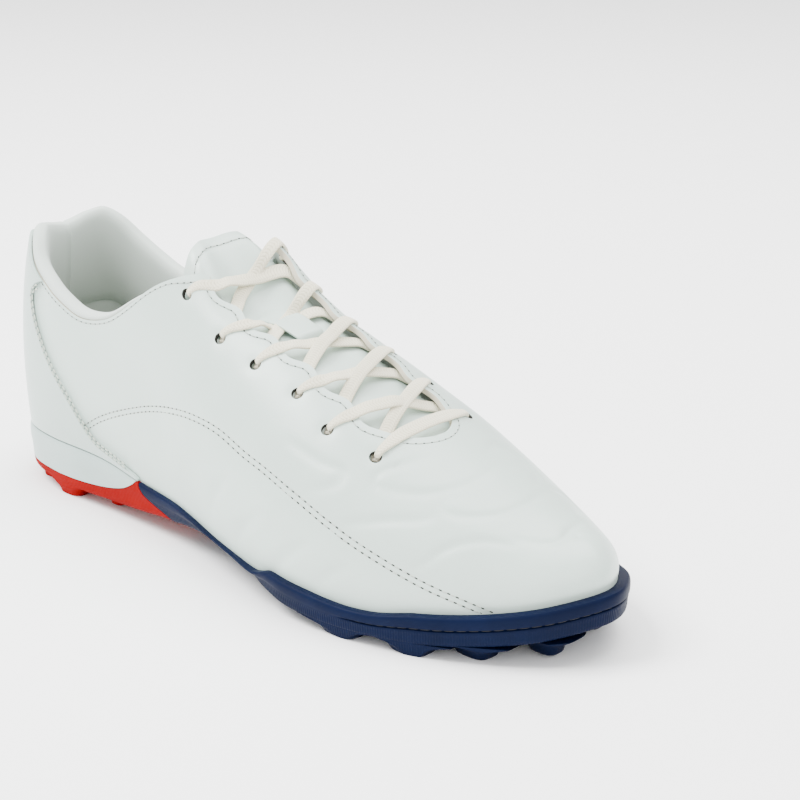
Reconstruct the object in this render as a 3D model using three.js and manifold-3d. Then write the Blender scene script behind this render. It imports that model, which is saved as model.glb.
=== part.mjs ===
// Right turf shoe, in millimetres, +Z up, toe towards +X, outer side of the foot towards -Y
import * as THREE from 'three';
import Module from 'manifold-3d';

const wasm = await Module();
wasm.setup();

// Driving sizes of the shoe
const LENGTH = 288;
const BALL_WIDTH = 104;
const INSTEP_HEIGHT = 112;
const COLLAR_HEIGHT = 103;
const RIM_HEIGHT = 22;
const LUG_HEIGHT = 6;
const LUG_SIZE = 20;
const LUG_ROOT = 1.5;
const LUG_TAPER = 0.55;
const LUG_ASPECT = 0.72;

// Thicknesses of the pieces
const UPPER_WALL = 2;
const COUNTER_THICKNESS = 1.3;
const COLLAR_PADDING = 4.5;
const TONGUE_THICKNESS = 4.5;
const INSOLE_THICKNESS = 3.5;
const KEEPER_THICKNESS = 1;

// Clearances between pieces that touch on the real shoe
const GAP = 0.3;
const LACE_ROOM = 2;
const LACE_CLEAR = 0.5;
const KEEPER_ROOM = 1;
const RIM_FIT = 0.5;
const INSOLE_FIT = 0.8;
const ON_RIM = 0.6;

// Sole: rim around the upper, groove of the toe, step at the forefoot
const RIM_WIDTH = 2.6;
const TOE_RIM_EXTRA = 0.8;
const TOE_RIM_FROM = 0.75;
const TOE_RIM_FULL = 0.95;
const RIM_DEPTH = 3;
const GROOVE_DEPTH = 1.1;
const FOREFOOT_STEP = 1.3;
const STEP_AT = 0.52;
const STEP_LENGTH = 0.01;
const GROOVE_FROM = 0.72;
const GROOVE_RUN = 0.04;

// Throat and lacing; a lace dips and dives over shares of its run, from its eyelet to where it
// goes under the other facing
const THROAT_WIDTH = 32;
const THROAT_START = 90;
const THROAT_END = 216;
const THROAT_ROUND = 14;
const EYELET_ROWS = 6;
const FIRST_EYELET = 120;
const LAST_EYELET = 209;
const EYELET_INSET = 10;
const EYELET_DIAMETER = 4;
const SCALLOP = 1.3;
const LACE_WIDTH = 6;
const LACE_THICKNESS = 1.3;
const LACE_SLANT = 0.72;
const LACE_TUCK = 1.5;
const LACE_SAG = -1.5;
const LACE_JOIN = 0.25;
const LACE_DIP = [0.32, 0.5];
const KEPT_DIP = [0.29, 0.41];
const LACE_DIVE = [0.6, 0.8];
const KEPT_ROW = 2;
const CORNER_SOFTNESS = 0.06;

// Tongue and the keeper strap that holds the laces on it, and the padding inside the collar
const TONGUE_TOP = 108;
const TONGUE_FOOT = 228;
const TONGUE_WIDTH = 54;
const TONGUE_FOOT_WIDTH = 42;
const TONGUE_CORNER = 13;
const TONGUE_SAG = 4.5;
const TONGUE_RISE_PAST = 4;
const KEEPER_START = 134;
const KEEPER_LENGTH = 25;
const KEEPER_WIDTH = 12;
const KEEPER_RISE = 0.15;
const PADDING_DROP = 34;
const PADDING_END = 92;
const COUNTER_END = 88;

// Reach of a cut past the shoe
const BEYOND = 40;

// Reach of the two ends of the last, where its sections fan around heel and toe, and the
// place on the ridge up to which the sections of the collar run
const HEEL_FAN = 32;
const TOE_FAN = 17;
const COLLAR_FRONT = 100;

// How low and how sharp the swell of a section lies, and how its rows close under the top edge
const SWELL_LOW = 0.75;
const SWELL_SHARP = 1.2;
const CLOSING_SHARE = 0.85;
const CLOSING_MOST = 3;

// Sides of the foot, as the sign of Y
const LATERAL = -1;
const MEDIAL = 1;

// Side whose lace lies on top at each crossing, counted from the top
const OVER_FROM = new Map([[1, LATERAL], [2, MEDIAL], [3, MEDIAL], [4, MEDIAL], [5, LATERAL]]);

// Fineness of the outline's samples, and steps along and up each skin
const SAMPLES = 240;
const HEADING_STEP = 1e-4;
const WELD_STEPS_PER_MM = 500;
const HALVINGS = 30;
const SHARE_HALVINGS = 40;
const SOLE_STEPS = 32;
const UPPER_ROWS = 7;
const UPPER_STEPS = { collar: 14, throat: 19, arc: 4, toe: 12 };
const PANEL_ROWS = 5;
const TONGUE_STEPS = 16;
const TONGUE_COLUMNS = 8;
const KEEPER_STEPS = 12;
const LACE_STEPS = 14;
const BAR_STEPS = 12;
const EYELET_SIDES = 10;
const LUG_SIDES = 8;

// Outline of the sole: at in shares of LENGTH, both sides in shares of BALL_WIDTH
const OUTLINE = [
  { at: 0.0, lateral: 0.0, medial: 0.0 },
  { at: 0.018, lateral: 0.17, medial: 0.17 },
  { at: 0.06, lateral: 0.275, medial: 0.27 },
  { at: 0.13, lateral: 0.322, medial: 0.315 },
  { at: 0.25, lateral: 0.325, medial: 0.29 },
  { at: 0.38, lateral: 0.35, medial: 0.265 },
  { at: 0.52, lateral: 0.43, medial: 0.32 },
  { at: 0.66, lateral: 0.485, medial: 0.44 },
  { at: 0.74, lateral: 0.468, medial: 0.48 },
  { at: 0.84, lateral: 0.395, medial: 0.43 },
  { at: 0.92, lateral: 0.275, medial: 0.32 },
  { at: 0.97, lateral: 0.155, medial: 0.205 },
  { at: 1.0, lateral: -0.025, medial: 0.025 },
];

// Heights of the sole's rim and underside, in shares of RIM_HEIGHT
const SOLE_SIDE = [
  { at: 0.0, rim: 1.04, base: 0.3 },
  { at: 0.1, rim: 1.03, base: 0.25 },
  { at: 0.2, rim: 1.02, base: 0.22 },
  { at: 0.26, rim: 0.97, base: 0.26 },
  { at: 0.32, rim: 0.85, base: 0.32 },
  { at: 0.41, rim: 0.77, base: 0.45 },
  { at: 0.51, rim: 0.68, base: 0.41 },
  { at: 0.6, rim: 0.61, base: 0.28 },
  { at: 0.68, rim: 0.59, base: 0.18 },
  { at: 0.76, rim: 0.61, base: 0.16 },
  { at: 0.84, rim: 0.68, base: 0.19 },
  { at: 0.91, rim: 0.79, base: 0.29 },
  { at: 0.96, rim: 0.92, base: 0.41 },
  { at: 1.0, rim: 1.06, base: 0.56 },
];

// Sections of the last: centre and both swells in shares of BALL_WIDTH, ridge of INSTEP_HEIGHT,
// and how square each side of the section is, where 2 is an ellipse
const LAST = [
  { at: 0.0, centre: 0.0, ridge: 1.16, swellOut: 0.008, swellIn: 0.008, squareOut: 2.7, squareIn: 2.7 },
  { at: 0.11, centre: 0.0, ridge: 1.17, swellOut: 0.015, swellIn: 0.015, squareOut: 2.7, squareIn: 2.7 },
  { at: 0.2, centre: -0.015, ridge: 1.16, swellOut: 0.03, swellIn: 0.03, squareOut: 2.7, squareIn: 2.75 },
  { at: 0.3, centre: -0.035, ridge: 1.13, swellOut: 0.04, swellIn: 0.05, squareOut: 2.7, squareIn: 2.8 },
  { at: 0.39, centre: -0.055, ridge: 1.04, swellOut: 0.05, swellIn: 0.07, squareOut: 2.8, squareIn: 3.0 },
  { at: 0.5, centre: -0.06, ridge: 0.84, swellOut: 0.05, swellIn: 0.07, squareOut: 2.8, squareIn: 3.1 },
  { at: 0.6, centre: -0.055, ridge: 0.73, swellOut: 0.035, swellIn: 0.05, squareOut: 2.5, squareIn: 2.7 },
  { at: 0.69, centre: -0.05, ridge: 0.62, swellOut: 0.02, swellIn: 0.03, squareOut: 2.35, squareIn: 2.5 },
  { at: 0.77, centre: -0.01, ridge: 0.515, swellOut: 0.015, swellIn: 0.02, squareOut: 2.25, squareIn: 2.25 },
  { at: 0.86, centre: 0.02, ridge: 0.415, swellOut: 0.01, swellIn: 0.01, squareOut: 2.25, squareIn: 2.1 },
  { at: 0.94, centre: 0.04, ridge: 0.335, swellOut: 0.01, swellIn: 0.01, squareOut: 2.2, squareIn: 2.2 },
];

// Levels of the sole's side: up in shares of its height, inset in millimetres from the outline
const SOLE_LEVELS = [
  { up: 0, inset: 3.4, widens: 0, grooved: 0 },
  { up: 0.1, inset: 2.1, widens: 0.5, grooved: 0 },
  { up: 0.45, inset: 1.6, widens: 1, grooved: 0 },
  { up: 0.52, inset: 1.4, widens: 1, grooved: 0 },
  { up: 0.57, inset: 1.3, widens: 1, grooved: 1 },
  { up: 0.62, inset: 1.1, widens: 1, grooved: 0 },
  { up: 0.9, inset: 1.2, widens: 1, grooved: 0 },
  { up: 1, inset: 1.7, widens: 1, grooved: 0 },
];

// Top line of the collar and upper edge of the heel counter, in shares of COLLAR_HEIGHT
const COLLAR = [
  { at: 0, height: 0.975, counter: 0.76 },
  { at: 0.01, height: 0.99, counter: 0.765 },
  { at: 0.03, height: 1.0, counter: 0.775 },
  { at: 0.055, height: 0.965, counter: 0.775 },
  { at: 0.086, height: 0.905, counter: 0.75 },
  { at: 0.12, height: 0.86, counter: 0.65 },
  { at: 0.165, height: 0.81, counter: 0.47 },
  { at: 0.21, height: 0.775, counter: 0.325 },
  { at: 0.26, height: 0.79, counter: 0.25 },
  { at: 0.3, height: 0.835, counter: 0.21 },
  { at: 0.35, height: 0.905, counter: 0.18 },
  { at: 0.4, height: 0.985, counter: 0.17 },
  { at: 0.45, height: 1.08, counter: 0.16 },
];

// Where the sole's three parts meet on the side: at in shares of LENGTH, up in shares of RIM_HEIGHT
const CUP_LINE = [
  { at: -0.05, up: 0.42 },
  { at: 0.12, up: 0.41 },
  { at: 0.19, up: 0.42 },
  { at: 0.24, up: 0.48 },
  { at: 0.28, up: 0.6 },
  { at: 0.3, up: 0.72 },
  { at: 0.315, up: 0.86 },
];
const SHANK_LINE = [
  { at: 0.318, up: 0.9 },
  { at: 0.325, up: 0.74 },
  { at: 0.335, up: 0.65 },
  { at: 0.355, up: 0.56 },
  { at: 0.385, up: 0.47 },
];

// Lugs under the sole: at and across in shares of LENGTH and BALL_WIDTH,
// size in shares of LUG_SIZE and drop of LUG_HEIGHT
const HEEL_LUGS = [
  { at: 0.035, across: 0, size: 0.75, drop: 1 },
  { at: 0.075, across: -0.2, size: 0.65, drop: 1 },
  { at: 0.075, across: 0.2, size: 0.65, drop: 1 },
  { at: 0.15, across: -0.245, size: 1.15, drop: 1 },
  { at: 0.15, across: 0.23, size: 1.15, drop: 1 },
  { at: 0.115, across: 0, size: 0.6, drop: 1 },
  { at: 0.2, across: -0.08, size: 0.65, drop: 1 },
  { at: 0.2, across: 0.08, size: 0.65, drop: 1 },
  { at: 0.235, across: -0.225, size: 0.6, drop: 0.7 },
  { at: 0.235, across: 0.205, size: 0.6, drop: 0.7 },
];
const FOREFOOT_LUGS = [
  { at: 0.645, across: -0.35, size: 0.8, drop: 0.8 },
  { at: 0.645, across: 0.3, size: 0.8, drop: 0.8 },
  { at: 0.65, across: -0.02, size: 0.65, drop: 0.8 },
  { at: 0.7, across: -0.19, size: 0.8, drop: 1 },
  { at: 0.7, across: 0.18, size: 0.8, drop: 1 },
  { at: 0.74, across: -0.385, size: 1.3, drop: 1 },
  { at: 0.735, across: 0.385, size: 1.3, drop: 1 },
  { at: 0.76, across: 0, size: 0.8, drop: 1 },
  { at: 0.79, across: -0.185, size: 0.75, drop: 1 },
  { at: 0.79, across: 0.2, size: 0.75, drop: 1 },
  { at: 0.83, across: -0.33, size: 1.3, drop: 1 },
  { at: 0.825, across: 0.35, size: 1.3, drop: 1 },
  { at: 0.845, across: 0.02, size: 0.8, drop: 1 },
  { at: 0.88, across: -0.1, size: 0.7, drop: 1 },
  { at: 0.88, across: 0.15, size: 0.7, drop: 1 },
  { at: 0.9, across: -0.205, size: 1.05, drop: 1 },
  { at: 0.895, across: 0.27, size: 1.1, drop: 1 },
  { at: 0.935, across: -0.035, size: 0.9, drop: 1 },
  { at: 0.935, across: 0.135, size: 0.9, drop: 1 },
];

// Smooth value of one column of a table at a distance x from the heel
function along(rows, column, x) {
  const t = x / LENGTH;
  const last = rows.length - 1;
  if (t <= rows[0].at) {
    return rows[0][column];
  }
  if (t >= rows[last].at) {
    return rows[last][column];
  }
  const i = rows.findIndex((row) => row.at > t) - 1;
  const slope = (k) => {
    const a = rows[Math.max(k - 1, 0)];
    const b = rows[Math.min(k + 1, last)];
    return (b[column] - a[column]) / (b.at - a.at);
  };
  const span = rows[i + 1].at - rows[i].at;
  const u = (t - rows[i].at) / span;
  const rise = rows[i + 1][column] - rows[i][column];
  const from = slope(i) * span;
  const to = slope(i + 1) * span;
  return rows[i][column] + u * (from + u * (3 * rise - 2 * from - to + u * (from + to - 2 * rise)));
}

function smoothStep(from, to, x) {
  const t = Math.min(Math.max((x - from) / (to - from), 0), 1);
  return t * t * (3 - 2 * t);
}

// The outline as one closed curve, sampled once, with a running length for each side
function outlineSide(side) {
  const out = OUTLINE.map((row) => new THREE.Vector3(row.at * LENGTH, -row.lateral * BALL_WIDTH, 0));
  const inner = OUTLINE.slice(1, -1);
  const back = inner.map((row) => new THREE.Vector3(row.at * LENGTH, row.medial * BALL_WIDTH, 0));
  const loop = new THREE.CatmullRomCurve3([...out, ...back.reverse()], true, 'centripetal');
  const toe = (OUTLINE.length - 1) / (out.length + back.length);
  const points = [];
  const headings = [];
  const lengths = [0];
  for (let k = 0; k <= SAMPLES; k += 1) {
    const t = side === LATERAL ? (toe * k) / SAMPLES : 1 - ((1 - toe) * k) / SAMPLES;
    const point = loop.getPoint(t);
    points.push(point);
    const behind = loop.getPoint((t + 1 - HEADING_STEP) % 1);
    const before = loop.getPoint((t + HEADING_STEP) % 1);
    headings.push(before.sub(behind).normalize().multiplyScalar(-side));
    if (k > 0) {
      lengths.push(lengths[k - 1] + point.distanceTo(points[k - 1]));
    }
  }
  return { points, headings, lengths };
}

const SIDES = new Map([[LATERAL, outlineSide(LATERAL)], [MEDIAL, outlineSide(MEDIAL)]]);

// Point of the outline at share s of its side, heel to toe, moved inwards by inset
function outlinePoint(side, s, inset) {
  const { points, headings, lengths } = SIDES.get(side);
  const reach = s * lengths[SAMPLES];
  let k = lengths.findIndex((length) => length >= reach);
  k = Math.min(Math.max(k, 1), SAMPLES);
  const t = (reach - lengths[k - 1]) / (lengths[k] - lengths[k - 1]);
  const point = points[k - 1].clone().lerp(points[k], t);
  const ahead = headings[k - 1].clone().lerp(headings[k], t).normalize();
  const inwards = new THREE.Vector3(side * ahead.y, -side * ahead.x, 0);
  return point.addScaledVector(inwards, inset);
}

function rimTop(x) {
  return along(SOLE_SIDE, 'rim', x) * RIM_HEIGHT;
}

function soleBase(x) {
  return along(SOLE_SIDE, 'base', x) * RIM_HEIGHT;
}

function rimWidth(x) {
  return RIM_WIDTH + TOE_RIM_EXTRA * smoothStep(TOE_RIM_FROM * LENGTH, TOE_RIM_FULL * LENGTH, x);
}

// Place along the ridge of the last for share s: it runs slower near heel and toe
function ridgeAt(s) {
  const x = (outlinePoint(LATERAL, s, 0).x + outlinePoint(MEDIAL, s, 0).x) / 2;
  if (x < 2 * HEEL_FAN) {
    return HEEL_FAN + (x * x) / (4 * HEEL_FAN);
  }
  const left = LENGTH - x;
  if (left < 2 * TOE_FAN) {
    return LENGTH - TOE_FAN - (left * left) / (4 * TOE_FAN);
  }
  return x;
}

// Share s whose ridge point lies at x
function shareAt(x) {
  let low = 0;
  let high = 1;
  if (x <= ridgeAt(low) || x >= ridgeAt(high)) {
    return x <= ridgeAt(low) ? low : high;
  }
  for (let k = 0; k < SHARE_HALVINGS; k += 1) {
    const middle = (low + high) / 2;
    if (ridgeAt(middle) < x) {
      low = middle;
    } else {
      high = middle;
    }
  }
  return (low + high) / 2;
}

// One section of the last: its foot in the rim, its ridge, swell and squareness
function section(side, s) {
  const outer = outlinePoint(side, s, 0);
  const foot = outlinePoint(side, s, rimWidth(outer.x) + RIM_FIT);
  const ridgeX = ridgeAt(s);
  const out = side === LATERAL;
  foot.z = rimTop(outer.x) - RIM_DEPTH + GAP;
  return {
    foot,
    ridge: new THREE.Vector3(
      ridgeX,
      along(LAST, 'centre', ridgeX) * BALL_WIDTH,
      along(LAST, 'ridge', ridgeX) * INSTEP_HEIGHT,
    ),
    swell: along(LAST, out ? 'swellOut' : 'swellIn', ridgeX) * BALL_WIDTH,
    square: along(LAST, out ? 'squareOut' : 'squareIn', ridgeX),
  };
}

// Point of a section at an angle: 0 at the foot, a right angle at the ridge
function sectionPoint({ foot, ridge, swell, square }, angle) {
  if (angle >= Math.PI / 2) {
    return ridge.clone();
  }
  const inwards = 1 - Math.max(Math.cos(angle), 0) ** (2 / square);
  const up = Math.sin(angle) ** (2 / square);
  const width = Math.hypot(ridge.x - foot.x, ridge.y - foot.y);
  const rim = (RIM_DEPTH + GAP) / (ridge.z - foot.z);
  const above = Math.max(up - rim, 0) / (1 - rim);
  const share = inwards - (swell / width) * Math.sin(Math.PI * above ** SWELL_LOW) ** SWELL_SHARP;
  return new THREE.Vector3(
    foot.x + (ridge.x - foot.x) * share,
    foot.y + (ridge.y - foot.y) * share,
    foot.z + (ridge.z - foot.z) * up,
  );
}

// Angle at which a section passes a test that fails below it
function angleWhere(cut, test) {
  let low = 0;
  let high = Math.PI / 2;
  for (let k = 0; k < HALVINGS; k += 1) {
    const middle = (low + high) / 2;
    if (test(sectionPoint(cut, middle))) {
      high = middle;
    } else {
      low = middle;
    }
  }
  return (low + high) / 2;
}

function angleAtHeight(cut, height) {
  return angleWhere(cut, (point) => point.z > height);
}

function angleAtOffset(cut, offset) {
  return angleWhere(cut, (point) => Math.abs(point.y - cut.ridge.y) < offset);
}

// Half width of the throat, waved between the eyelets and round at its end
function throatHalf(x) {
  const pitch = (LAST_EYELET - FIRST_EYELET) / (EYELET_ROWS - 1);
  const wave = SCALLOP * Math.cos((2 * Math.PI * (x - FIRST_EYELET)) / pitch);
  const half = THROAT_WIDTH / 2 - wave * smoothStep(0, pitch, THROAT_END - x);
  const past = (x - (THROAT_END - THROAT_ROUND)) / THROAT_ROUND;
  return past <= 0 ? half : half * Math.sqrt(Math.max(1 - past * past, 0));
}

// Two angles joined by a round corner
function softMinimum(a, b, softness) {
  const h = Math.max(softness - Math.abs(a - b), 0) / softness;
  return Math.min(a, b) - (h * h * softness) / 4;
}

// Angle of the upper's top edge: collar, then throat, then the ridge itself
function topAngle(side, s) {
  const cut = section(side, s);
  const x = cut.ridge.x;
  if (x >= THROAT_END - 1e-6) {
    return Math.PI / 2;
  }
  const collar = along(COLLAR, 'height', outlinePoint(side, s, 0).x) * COLLAR_HEIGHT;
  const edge = x < THROAT_START ? Math.PI / 2 : angleAtOffset(cut, throatHalf(x));
  return softMinimum(angleAtHeight(cut, collar), edge, CORNER_SOFTNESS);
}

// Shares of the stations between two places on the ridge
function stations(from, to, count) {
  return steps(shareAt(from), shareAt(to), count);
}

// Even steps from a low to a high value, both included
function steps(low, high, count) {
  return Array.from({ length: count + 1 }, (_, k) => low + ((high - low) * k) / count);
}

// Open skin on the last over the given stations and the angles of each, on one side; the two
// sides share their first and last section
function skin(side, shares, anglesAt) {
  const points = [];
  const faces = [];
  shares.forEach((s, i) => {
    const of = s <= 0 || s >= 1 ? LATERAL : side;
    const cut = section(of, s);
    const angles = anglesAt(of, s, cut);
    const rows = angles.length - 1;
    angles.forEach((angle) => points.push(sectionPoint(cut, angle)));
    if (i > 0) {
      for (let j = 0; j < rows; j += 1) {
        const a = (i - 1) * (rows + 1) + j;
        const b = a + rows + 1;
        const quad = side === LATERAL ? [a, b, b + 1, a + 1] : [b, a, a + 1, b + 1];
        faces.push([quad[0], quad[1], quad[2]], [quad[0], quad[2], quad[3]]);
      }
    }
  });
  return { points, faces };
}

// Joins skins into one and merges points that coincide
function weld(skins) {
  const points = [];
  const faces = [];
  const seen = new Map();
  skins.forEach((piece) => {
    const moved = piece.points.map((point) => {
      const key = [point.x, point.y, point.z].map((value) => Math.round(value * WELD_STEPS_PER_MM)).join();
      if (!seen.has(key)) {
        seen.set(key, points.length);
        points.push(point);
      }
      return seen.get(key);
    });
    piece.faces.forEach((face) => {
      const corners = face.map((index) => moved[index]);
      if (new Set(corners).size === 3) {
        faces.push(corners);
      }
    });
  });
  return { points, faces };
}

function skinNormals({ points, faces }) {
  const normals = points.map(() => new THREE.Vector3());
  faces.forEach(([a, b, c]) => {
    const ab = points[b].clone().sub(points[a]);
    const ac = points[c].clone().sub(points[a]);
    const normal = ab.cross(ac);
    [a, b, c].forEach((index) => normals[index].add(normal));
  });
  return normals.map((normal) => normal.normalize());
}

// Closed wall between two distances from a skin, both measured outwards
function wall(open, outer, inner, flatFoot) {
  const normals = skinNormals(open);
  const count = open.points.length;
  const at = (distance) => open.points.map((point, k) => {
    const moved = point.clone().addScaledVector(normals[k], distance);
    if (flatFoot(point)) {
      moved.z = point.z;
    }
    return moved;
  });
  const points = [...at(outer), ...at(inner)];
  const faces = [];
  const edges = new Map();
  open.faces.forEach((face) => {
    faces.push(face, face.map((index) => index + count).reverse());
    face.forEach((from, k) => {
      const to = face[(k + 1) % 3];
      if (!edges.delete(`${to},${from}`)) {
        edges.set(`${from},${to}`, [from, to]);
      }
    });
  });
  edges.forEach(([from, to]) => {
    faces.push([to, from, from + count], [to, from + count, to + count]);
  });
  return { points, faces };
}

// Closed body through a stack of loops with as many points each, closed below and above
// by rungs between its two sides
function stack(loops) {
  const around = loops[0].length;
  const half = around / 2;
  const points = loops.flat();
  const faces = [];
  for (let j = 0; j + 1 < loops.length; j += 1) {
    for (let i = 0; i < around; i += 1) {
      const a = j * around + i;
      const b = j * around + ((i + 1) % around);
      faces.push([a, b, b + around], [a, b + around, a + around]);
    }
  }
  const top = (loops.length - 1) * around;
  for (let i = 0; i < half; i += 1) {
    const a = i;
    const b = i + 1;
    const c = (around - i - 1) % around;
    const d = (around - i) % around;
    [[a, c, b], [a, d, c]].forEach((face) => {
      if (new Set(face).size === 3) {
        faces.push(face);
        faces.push([...face].reverse().map((index) => index + top));
      }
    });
  }
  return { points, faces };
}

// A loop around the sole, heel to toe on the outer side and back on the inner side
function soleLoop(shares, place) {
  const out = shares.map((s) => place(LATERAL, s));
  const back = shares.slice(1, -1).reverse().map((s) => place(MEDIAL, s));
  return [...out, ...back];
}

function solid({ points, faces }) {
  const mesh = new wasm.Mesh({
    numProp: 3,
    vertProperties: new Float32Array(points.flatMap((point) => point.toArray())),
    triVerts: new Uint32Array(faces.flat()),
  });
  return new wasm.Manifold(mesh);
}

// Solid of a three.js geometry, its shared corners merged
function solidOf(geometry) {
  const place = geometry.attributes.position;
  const corner = (k) => new THREE.Vector3().fromBufferAttribute(place, k);
  const count = geometry.index ? geometry.index.count : place.count;
  const order = Array.from({ length: count }, (_, k) => (geometry.index ? geometry.index.getX(k) : k));
  const faces = Array.from({ length: count / 3 }, (_, k) => order.slice(3 * k, 3 * k + 3));
  const points = Array.from({ length: place.count }, (_, k) => corner(k));
  return solid(weld([{ points, faces }]));
}

function geometryOf(body) {
  const mesh = body.getMesh();
  const geometry = new THREE.BufferGeometry();
  geometry.setAttribute('position', new THREE.Float32BufferAttribute(mesh.vertProperties, mesh.numProp));
  geometry.setIndex(Array.from(mesh.triVerts));
  return geometry;
}

// Straight bar of a side outline, drawn in X and Z, right through the width of the shoe
function throughWidth(corners) {
  const shape = new THREE.Shape(corners.map(([x, z]) => new THREE.Vector2(x, z)));
  const geometry = new THREE.ExtrudeGeometry(shape, { depth: 2 * BALL_WIDTH, bevelEnabled: false });
  geometry.rotateX(Math.PI / 2);
  geometry.translate(0, BALL_WIDTH, 0);
  return solidOf(geometry);
}

// Whether a point of the upper stands on the sole, where its wall stays level
function nearFoot(point) {
  return point.z < rimTop(point.x) - RIM_DEPTH + ON_RIM + GAP;
}

// Point on the skin of the last at x along the ridge and at a distance across from it
function acrossPoint(x, across) {
  const side = across < 0 ? LATERAL : MEDIAL;
  const cut = section(side, shareAt(x));
  return sectionPoint(cut, angleAtOffset(cut, Math.abs(across)));
}

// Outward direction of the last at a place on its skin
function acrossNormal(x, across) {
  const here = acrossPoint(x, across);
  const ahead = acrossPoint(x + 1, across).sub(here);
  const beside = acrossPoint(x, across + 1).sub(here);
  return ahead.cross(beside).normalize();
}

function acrossAt(x, across, lift) {
  return acrossPoint(x, across).addScaledVector(acrossNormal(x, across), lift);
}

function eyeletX(row) {
  return FIRST_EYELET + ((LAST_EYELET - FIRST_EYELET) * (row - 1)) / (EYELET_ROWS - 1);
}

function eyeletAcross(row) {
  return throatHalf(eyeletX(row)) + EYELET_INSET;
}

function eyeletPunch(row, side) {
  const at = acrossPoint(eyeletX(row), side * eyeletAcross(row));
  const normal = acrossNormal(eyeletX(row), side * eyeletAcross(row));
  const radius = EYELET_DIAMETER / 2;
  const punch = new THREE.CylinderGeometry(radius, radius, 6 * UPPER_WALL, EYELET_SIDES);
  punch.applyQuaternion(new THREE.Quaternion().setFromUnitVectors(new THREE.Vector3(0, 1, 0), normal));
  punch.translate(at.x, at.y, at.z);
  return solidOf(punch);
}

// Stations of the upper from heel to toe, closer where the throat rounds off
const UPPER_STATIONS = [
  ...stations(HEEL_FAN, COLLAR_FRONT, UPPER_STEPS.collar).slice(0, -1),
  ...stations(COLLAR_FRONT, THROAT_END - THROAT_ROUND / 2, UPPER_STEPS.throat).slice(0, -1),
  ...stations(THROAT_END - THROAT_ROUND / 2, THROAT_END, UPPER_STEPS.arc).slice(0, -1),
  ...stations(THROAT_END, LENGTH - TOE_FAN, UPPER_STEPS.toe),
];

// Angles of one section of the upper: the low ones stay where the whole last has them, so that
// the skin keeps its flow, and the high ones close up under the top edge
function upperAngles(side, s, cut) {
  const rim = rimAngle(side, s, cut);
  const whole = Math.PI / 2 - rim;
  const missing = Math.PI / 2 - topAngle(side, s);
  const power = Math.min(Math.max((CLOSING_SHARE * whole) / (missing + 1e-9), 1), CLOSING_MOST);
  return [0, ...steps(0, 1, UPPER_ROWS).map((t) => rim + whole * t - missing * t ** power)];
}

function rimAngle(side, s, cut) {
  return angleAtHeight(cut, rimTop(outlinePoint(side, s, 0).x) + GAP);
}

function upper() {
  const skins = [LATERAL, MEDIAL].map((side) => skin(side, UPPER_STATIONS, upperAngles));
  let body = solid(wall(weld(skins), 0, -UPPER_WALL, nearFoot));
  for (let row = 1; row <= EYELET_ROWS; row += 1) {
    body = body.subtract(eyeletPunch(row, LATERAL)).subtract(eyeletPunch(row, MEDIAL));
  }
  return geometryOf(body);
}

// The upper's stations from the heel up to a place on the ridge
function heelStations(x) {
  return UPPER_STATIONS.filter((s) => s < shareAt(x));
}

// Heel counter: a panel on the upper around the heel, down to the cup
function heelCounter() {
  const angles = (side, s, cut) => {
    const foot = rimTop(outlinePoint(side, s, 0).x) + 2 * GAP;
    const edge = along(COLLAR, 'counter', outlinePoint(side, s, 0).x) * COLLAR_HEIGHT;
    return steps(angleAtHeight(cut, foot), angleAtHeight(cut, Math.max(edge, foot + 1)), PANEL_ROWS);
  };
  const skins = [LATERAL, MEDIAL].map((side) => skin(side, heelStations(COUNTER_END), angles));
  return geometryOf(solid(wall(weld(skins), GAP + COUNTER_THICKNESS, GAP, () => false)));
}

// Collar padding: the soft roll inside the collar
function collarPadding() {
  const angles = (side, s, cut) => {
    const collar = along(COLLAR, 'height', outlinePoint(side, s, 0).x) * COLLAR_HEIGHT;
    return steps(angleAtHeight(cut, collar - PADDING_DROP), topAngle(side, s), PANEL_ROWS);
  };
  const skins = [LATERAL, MEDIAL].map((side) => skin(side, heelStations(PADDING_END), angles));
  const outer = -UPPER_WALL - GAP;
  return geometryOf(solid(wall(weld(skins), outer, outer - COLLAR_PADDING, () => false)));
}

// Sole: one stack of loops cut into heel cup, heel and forefoot
const SOLE_STATIONS = [
  ...steps(0, 1, SOLE_STEPS),
  shareAt((STEP_AT - STEP_LENGTH / 2) * LENGTH),
  shareAt((STEP_AT + STEP_LENGTH / 2) * LENGTH),
].sort((a, b) => a - b);

function soleBody() {
  const half = STEP_LENGTH / 2;
  const wider = (x) => FOREFOOT_STEP * smoothStep(STEP_AT - half, STEP_AT + half, x / LENGTH);
  const grooved = (x) => GROOVE_DEPTH * smoothStep(GROOVE_FROM, GROOVE_FROM + GROOVE_RUN, x / LENGTH);
  const loops = SOLE_LEVELS.map((level) => soleLoop(SOLE_STATIONS, (side, s) => {
    const { x } = outlinePoint(side, s, 0);
    const point = outlinePoint(side, s, level.inset - level.widens * wider(x) + level.grooved * grooved(x));
    point.z = soleBase(x) + (rimTop(x) - soleBase(x)) * level.up;
    return point;
  }));
  [0, RIM_DEPTH].forEach((depth) => {
    loops.push(soleLoop(SOLE_STATIONS, (side, s) => {
      const { x } = outlinePoint(side, s, 0);
      const point = outlinePoint(side, s, rimWidth(x));
      point.z = rimTop(x) - depth;
      return point;
    }));
  });
  return solid(stack(loops));
}

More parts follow.
